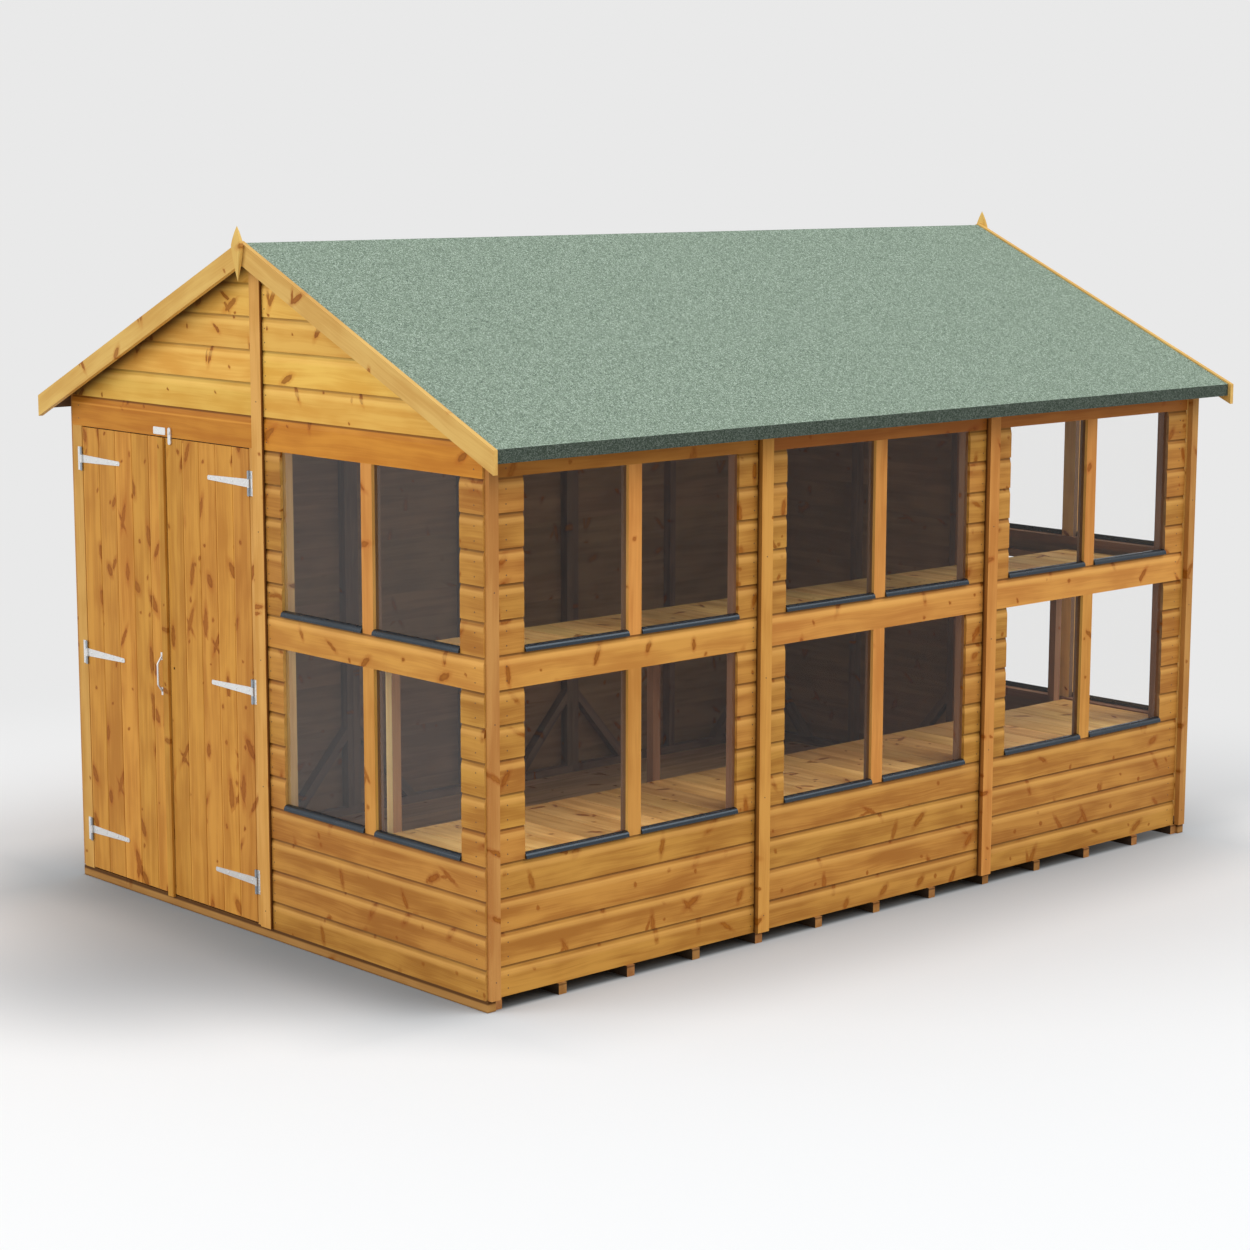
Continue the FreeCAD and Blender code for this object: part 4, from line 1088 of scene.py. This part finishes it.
def darken_barrels(mesh, material):
    """Darker zinc on the knuckles that stand in front of the hinge plates."""
    mesh.materials.append(material)
    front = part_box("left_door_hinge_straps")[1].y - HINGE_STOCK
    for polygon in mesh.polygons:
        polygon.material_index = int(polygon.center.y < front)


def fold_felt(mesh, material):
    """Painted shade: a darker copy of the felt on the turned-down fold at the roof's lower edge and on the
    cut edges.
    """
    mesh.materials.append(material)
    for polygon in mesh.polygons:
        polygon.material_index = int(polygon.normal.z < FELT_SLOPE)


def dress(materials):
    """Give every CAD node its material, and every timber node its boards."""
    for seed, name in enumerate(sorted(NODES)):
        node = NODES[name]
        finish = FINISHES.get(name, "glass" if name.endswith("_panes") else None)
        node.data.materials.clear()
        if finish not in PLAIN:
            mark_boards(node, seed, board_finish(name), materials)
            continue
        node.data.materials.append(materials[finish])
        if finish in ROUND:
            round_off(node)
        if name == "hinge_plates":
            darken_barrels(node.data, materials["barrel"])
        if finish == "felt":
            fold_felt(node.data, materials["fold"])


# Stage

def make_floor():
    """Wide level floor under the shed."""
    mesh = bpy.data.meshes.new("floor")
    corners = [(x * FLOOR_HALF, y * FLOOR_HALF, 0) for x, y in ((-1, -1), (1, -1), (1, 1), (-1, 1))]
    mesh.from_pydata(corners, [], [(0, 1, 2, 3)])
    mesh.materials.append(floor_material())
    floor = bpy.data.objects.new("floor", mesh)
    bpy.context.scene.collection.objects.link(floor)


def make_light():
    """World and lamps of a plain studio."""
    world = bpy.data.worlds.new("studio")
    bpy.context.scene.world = world
    world.use_nodes = True
    tree = world.node_tree
    tree.nodes.clear()
    light = add(tree, "Background", {"Color": (1, 1, 1, 1), "Strength": SKY_LIGHT})
    shown = add(tree, "Background", {"Color": (*BACKDROP, 1), "Strength": 1.0})
    both = add(tree, "MixShader", {0: seen_rays(tree), 1: light.outputs[0], 2: shown.outputs[0]})
    output = add(tree, "OutputWorld")
    tree.links.new(both.outputs[0], output.inputs["Surface"])
    lamps = {"key": (KEY_STRENGTH, KEY_SPREAD, KEY_FROM), "fill": (FILL_STRENGTH, FILL_SPREAD, FILL_FROM)}
    for name, (strength, width, source) in lamps.items():
        lamp = bpy.data.lights.new(name, "SUN")
        lamp.energy = strength
        lamp.angle = width
        lamp_object = bpy.data.objects.new(name, lamp)
        lamp_object.rotation_mode = "QUATERNION"
        lamp_object.rotation_quaternion = source.to_track_quat("Z", "Y")
        bpy.context.scene.collection.objects.link(lamp_object)


def make_camera():
    """Camera fitted to the photograph."""
    level = math.cos(CAMERA_DOWN)
    forward = Vector((-math.sin(CAMERA_AZIMUTH) * level, math.cos(CAMERA_AZIMUTH) * level,
                      -math.sin(CAMERA_DOWN)))
    right = forward.cross(Vector((0, 0, 1))).normalized()
    up = right.cross(forward)
    tilted_right = right * math.cos(CAMERA_ROLL) + up * math.sin(CAMERA_ROLL)
    tilted_up = tilted_right.cross(forward)
    data = bpy.data.cameras.new("camera")
    data.lens = CAMERA_LENS
    data.sensor_width = CAMERA_SENSOR
    camera = bpy.data.objects.new("camera", data)
    turn = Matrix((tilted_right, tilted_up, -forward)).transposed().to_4x4()
    camera.matrix_world = Matrix.Translation(CAMERA_PLACE) @ turn
    bpy.context.scene.collection.objects.link(camera)
    bpy.context.scene.camera = camera


# Finishes by name

def outer_timber():
    """Finishes of the timber that shows outside."""
    return {
        "cladding": timber("shiplap", GOLDEN, share=0.52, seam_shade=0.48, scoop_highlight=0.60, varied=0.10),
        "rail": timber("window_rails", RAIL, share=0.50, seam_shade=0.52, scoop_highlight=0.50, varied=0.12),
        "gable": timber("gable_shiplap", GABLE, share=0.45, seam_shade=0.32, scoop_highlight=0.35, eaves_shade=0.85, varied=0.12),
        "head": timber("head_boards", HEAD, share=0.4, seam_shade=0.6),
        "door_head": timber("door_head_board", HEAD, share=0.4, seam_shade=0.6, bead_highlight=0.029),
        "post": timber("door_post", POST, share=0.25, varied=0.14),
        "door": timber("door_boards", DOOR, share=0.5, joint=0.5, knot=1.3, slant=LEAN_ALONG, varied=0.16),
        "door_edge": timber("meeting_strip", DOOR, share=0.2),
        "barge": timber("barge_boards", BARGE, share=0.2, varied=0.08),
        "trim": timber("cover_strips", TRIM, share=0.3, varied=0.16),
        "corner": timber("corner_strips", CORNER, share=0.3, varied=0.10),
        "shaded_flank": timber("strip_flanks_shaded", FLANK_SHADE, share=0.2, foot=FLANK_SHADE_FOOT, varied=0.1),
        "reveal": timber("mullion_sides", POST, share=0.2, foot=REVEAL_SHADE_FOOT, varied=0.1),
        "shaded_eave": timber("eave_boards_shaded", EAVE_SHADED, share=0.4, varied=0.12),
        "joist": timber("end_joists", JOIST, share=0.3, seam_shade=0.85, seam_reach=0.010, sole_shade=0.6,
                        roughness=0.65),
        "joist_end": timber("joist_ends", JOIST_END, share=0.2, seam_shade=0.6, roughness=0.7),
        "shaded_joist_side": timber("joist_sides_shaded", JOIST_SIDE_SHADE, share=0.2, roughness=0.8),
    }


def inner_timber():
    """Finishes of the timber that shows through the panes and the doorway."""
    return {
        "lit_jamb": timber("window_jamb_lit", JAMB_LIT, share=0.25, varied=0.1),
        "flooring": timber("floor_boards", FLOORING, share=0.3, roughness=0.7),
        "sawn": timber("sawn_frame", SAWN, share=0.3, roughness=0.7),
        "shade": timber("wall_studs", SHADE, share=0.3, roughness=0.75),
        "inside": timber("inside_face", INSIDE, share=0.3, roughness=0.7),
        "lit_leg": timber("staging_legs_lit", LEG_LIT, share=0.25, roughness=0.65),
        "lit_leg_face": timber("leg_faces_lit", LEG_FACE_LIT, share=0.25, roughness=0.65),
        "shelf": timber("staging_slats", SHELF, share=0.35, roughness=0.65),
    }


def other_finishes():
    """Finishes of felt, glass, metal and moulded pieces."""
    return {
        "felt": felt_material("mineral_felt", shade=1.0),
        "fold": felt_material("felt_fold_shaded", shade=FOLD_SHADE),
        "glass": glass_material("clear_pane", ior=1.3),
        "front_glass": glass_material("front_pane", ior=1.5),
        "drip": plain_material("drip_strip", DRIP, roughness=0.26, scale=6.0, sheen=0.55, tint=DRIP_TINT),
        "steel": plain_material("nail_heads", NAIL_STEEL, roughness=0.5, metal=0.4),
        "zinc": plain_material("zinc_plate", ZINC, roughness=0.36, metal=0.75, grime=0.05),
        "keyhole": plain_material("keyhole", KEYHOLE, roughness=0.5, metal=0.3),
        "barrel": plain_material("hinge_barrels", BARREL, roughness=0.34, metal=0.85, grime=0.10),
        "white": plain_material("white_plate", PLATE_WHITE, roughness=0.3, grime=0.03),
    }


def main():
    """Dress the frame, add the fittings, and set the stage."""
    bpy.context.scene.view_settings.view_transform = "Standard"
    materials = outer_timber() | inner_timber() | other_finishes()
    dress(materials)
    hinge_screws(materials["zinc"])
    cladding_nails(materials["steel"])
    drip_beads(materials["drip"])
    for name, seed in SPEAR_SEEDS.items():
        spear(name, materials["barge"], seed)
    bare_plate(materials["white"])
    make_floor()
    make_light()
    make_camera()


main()
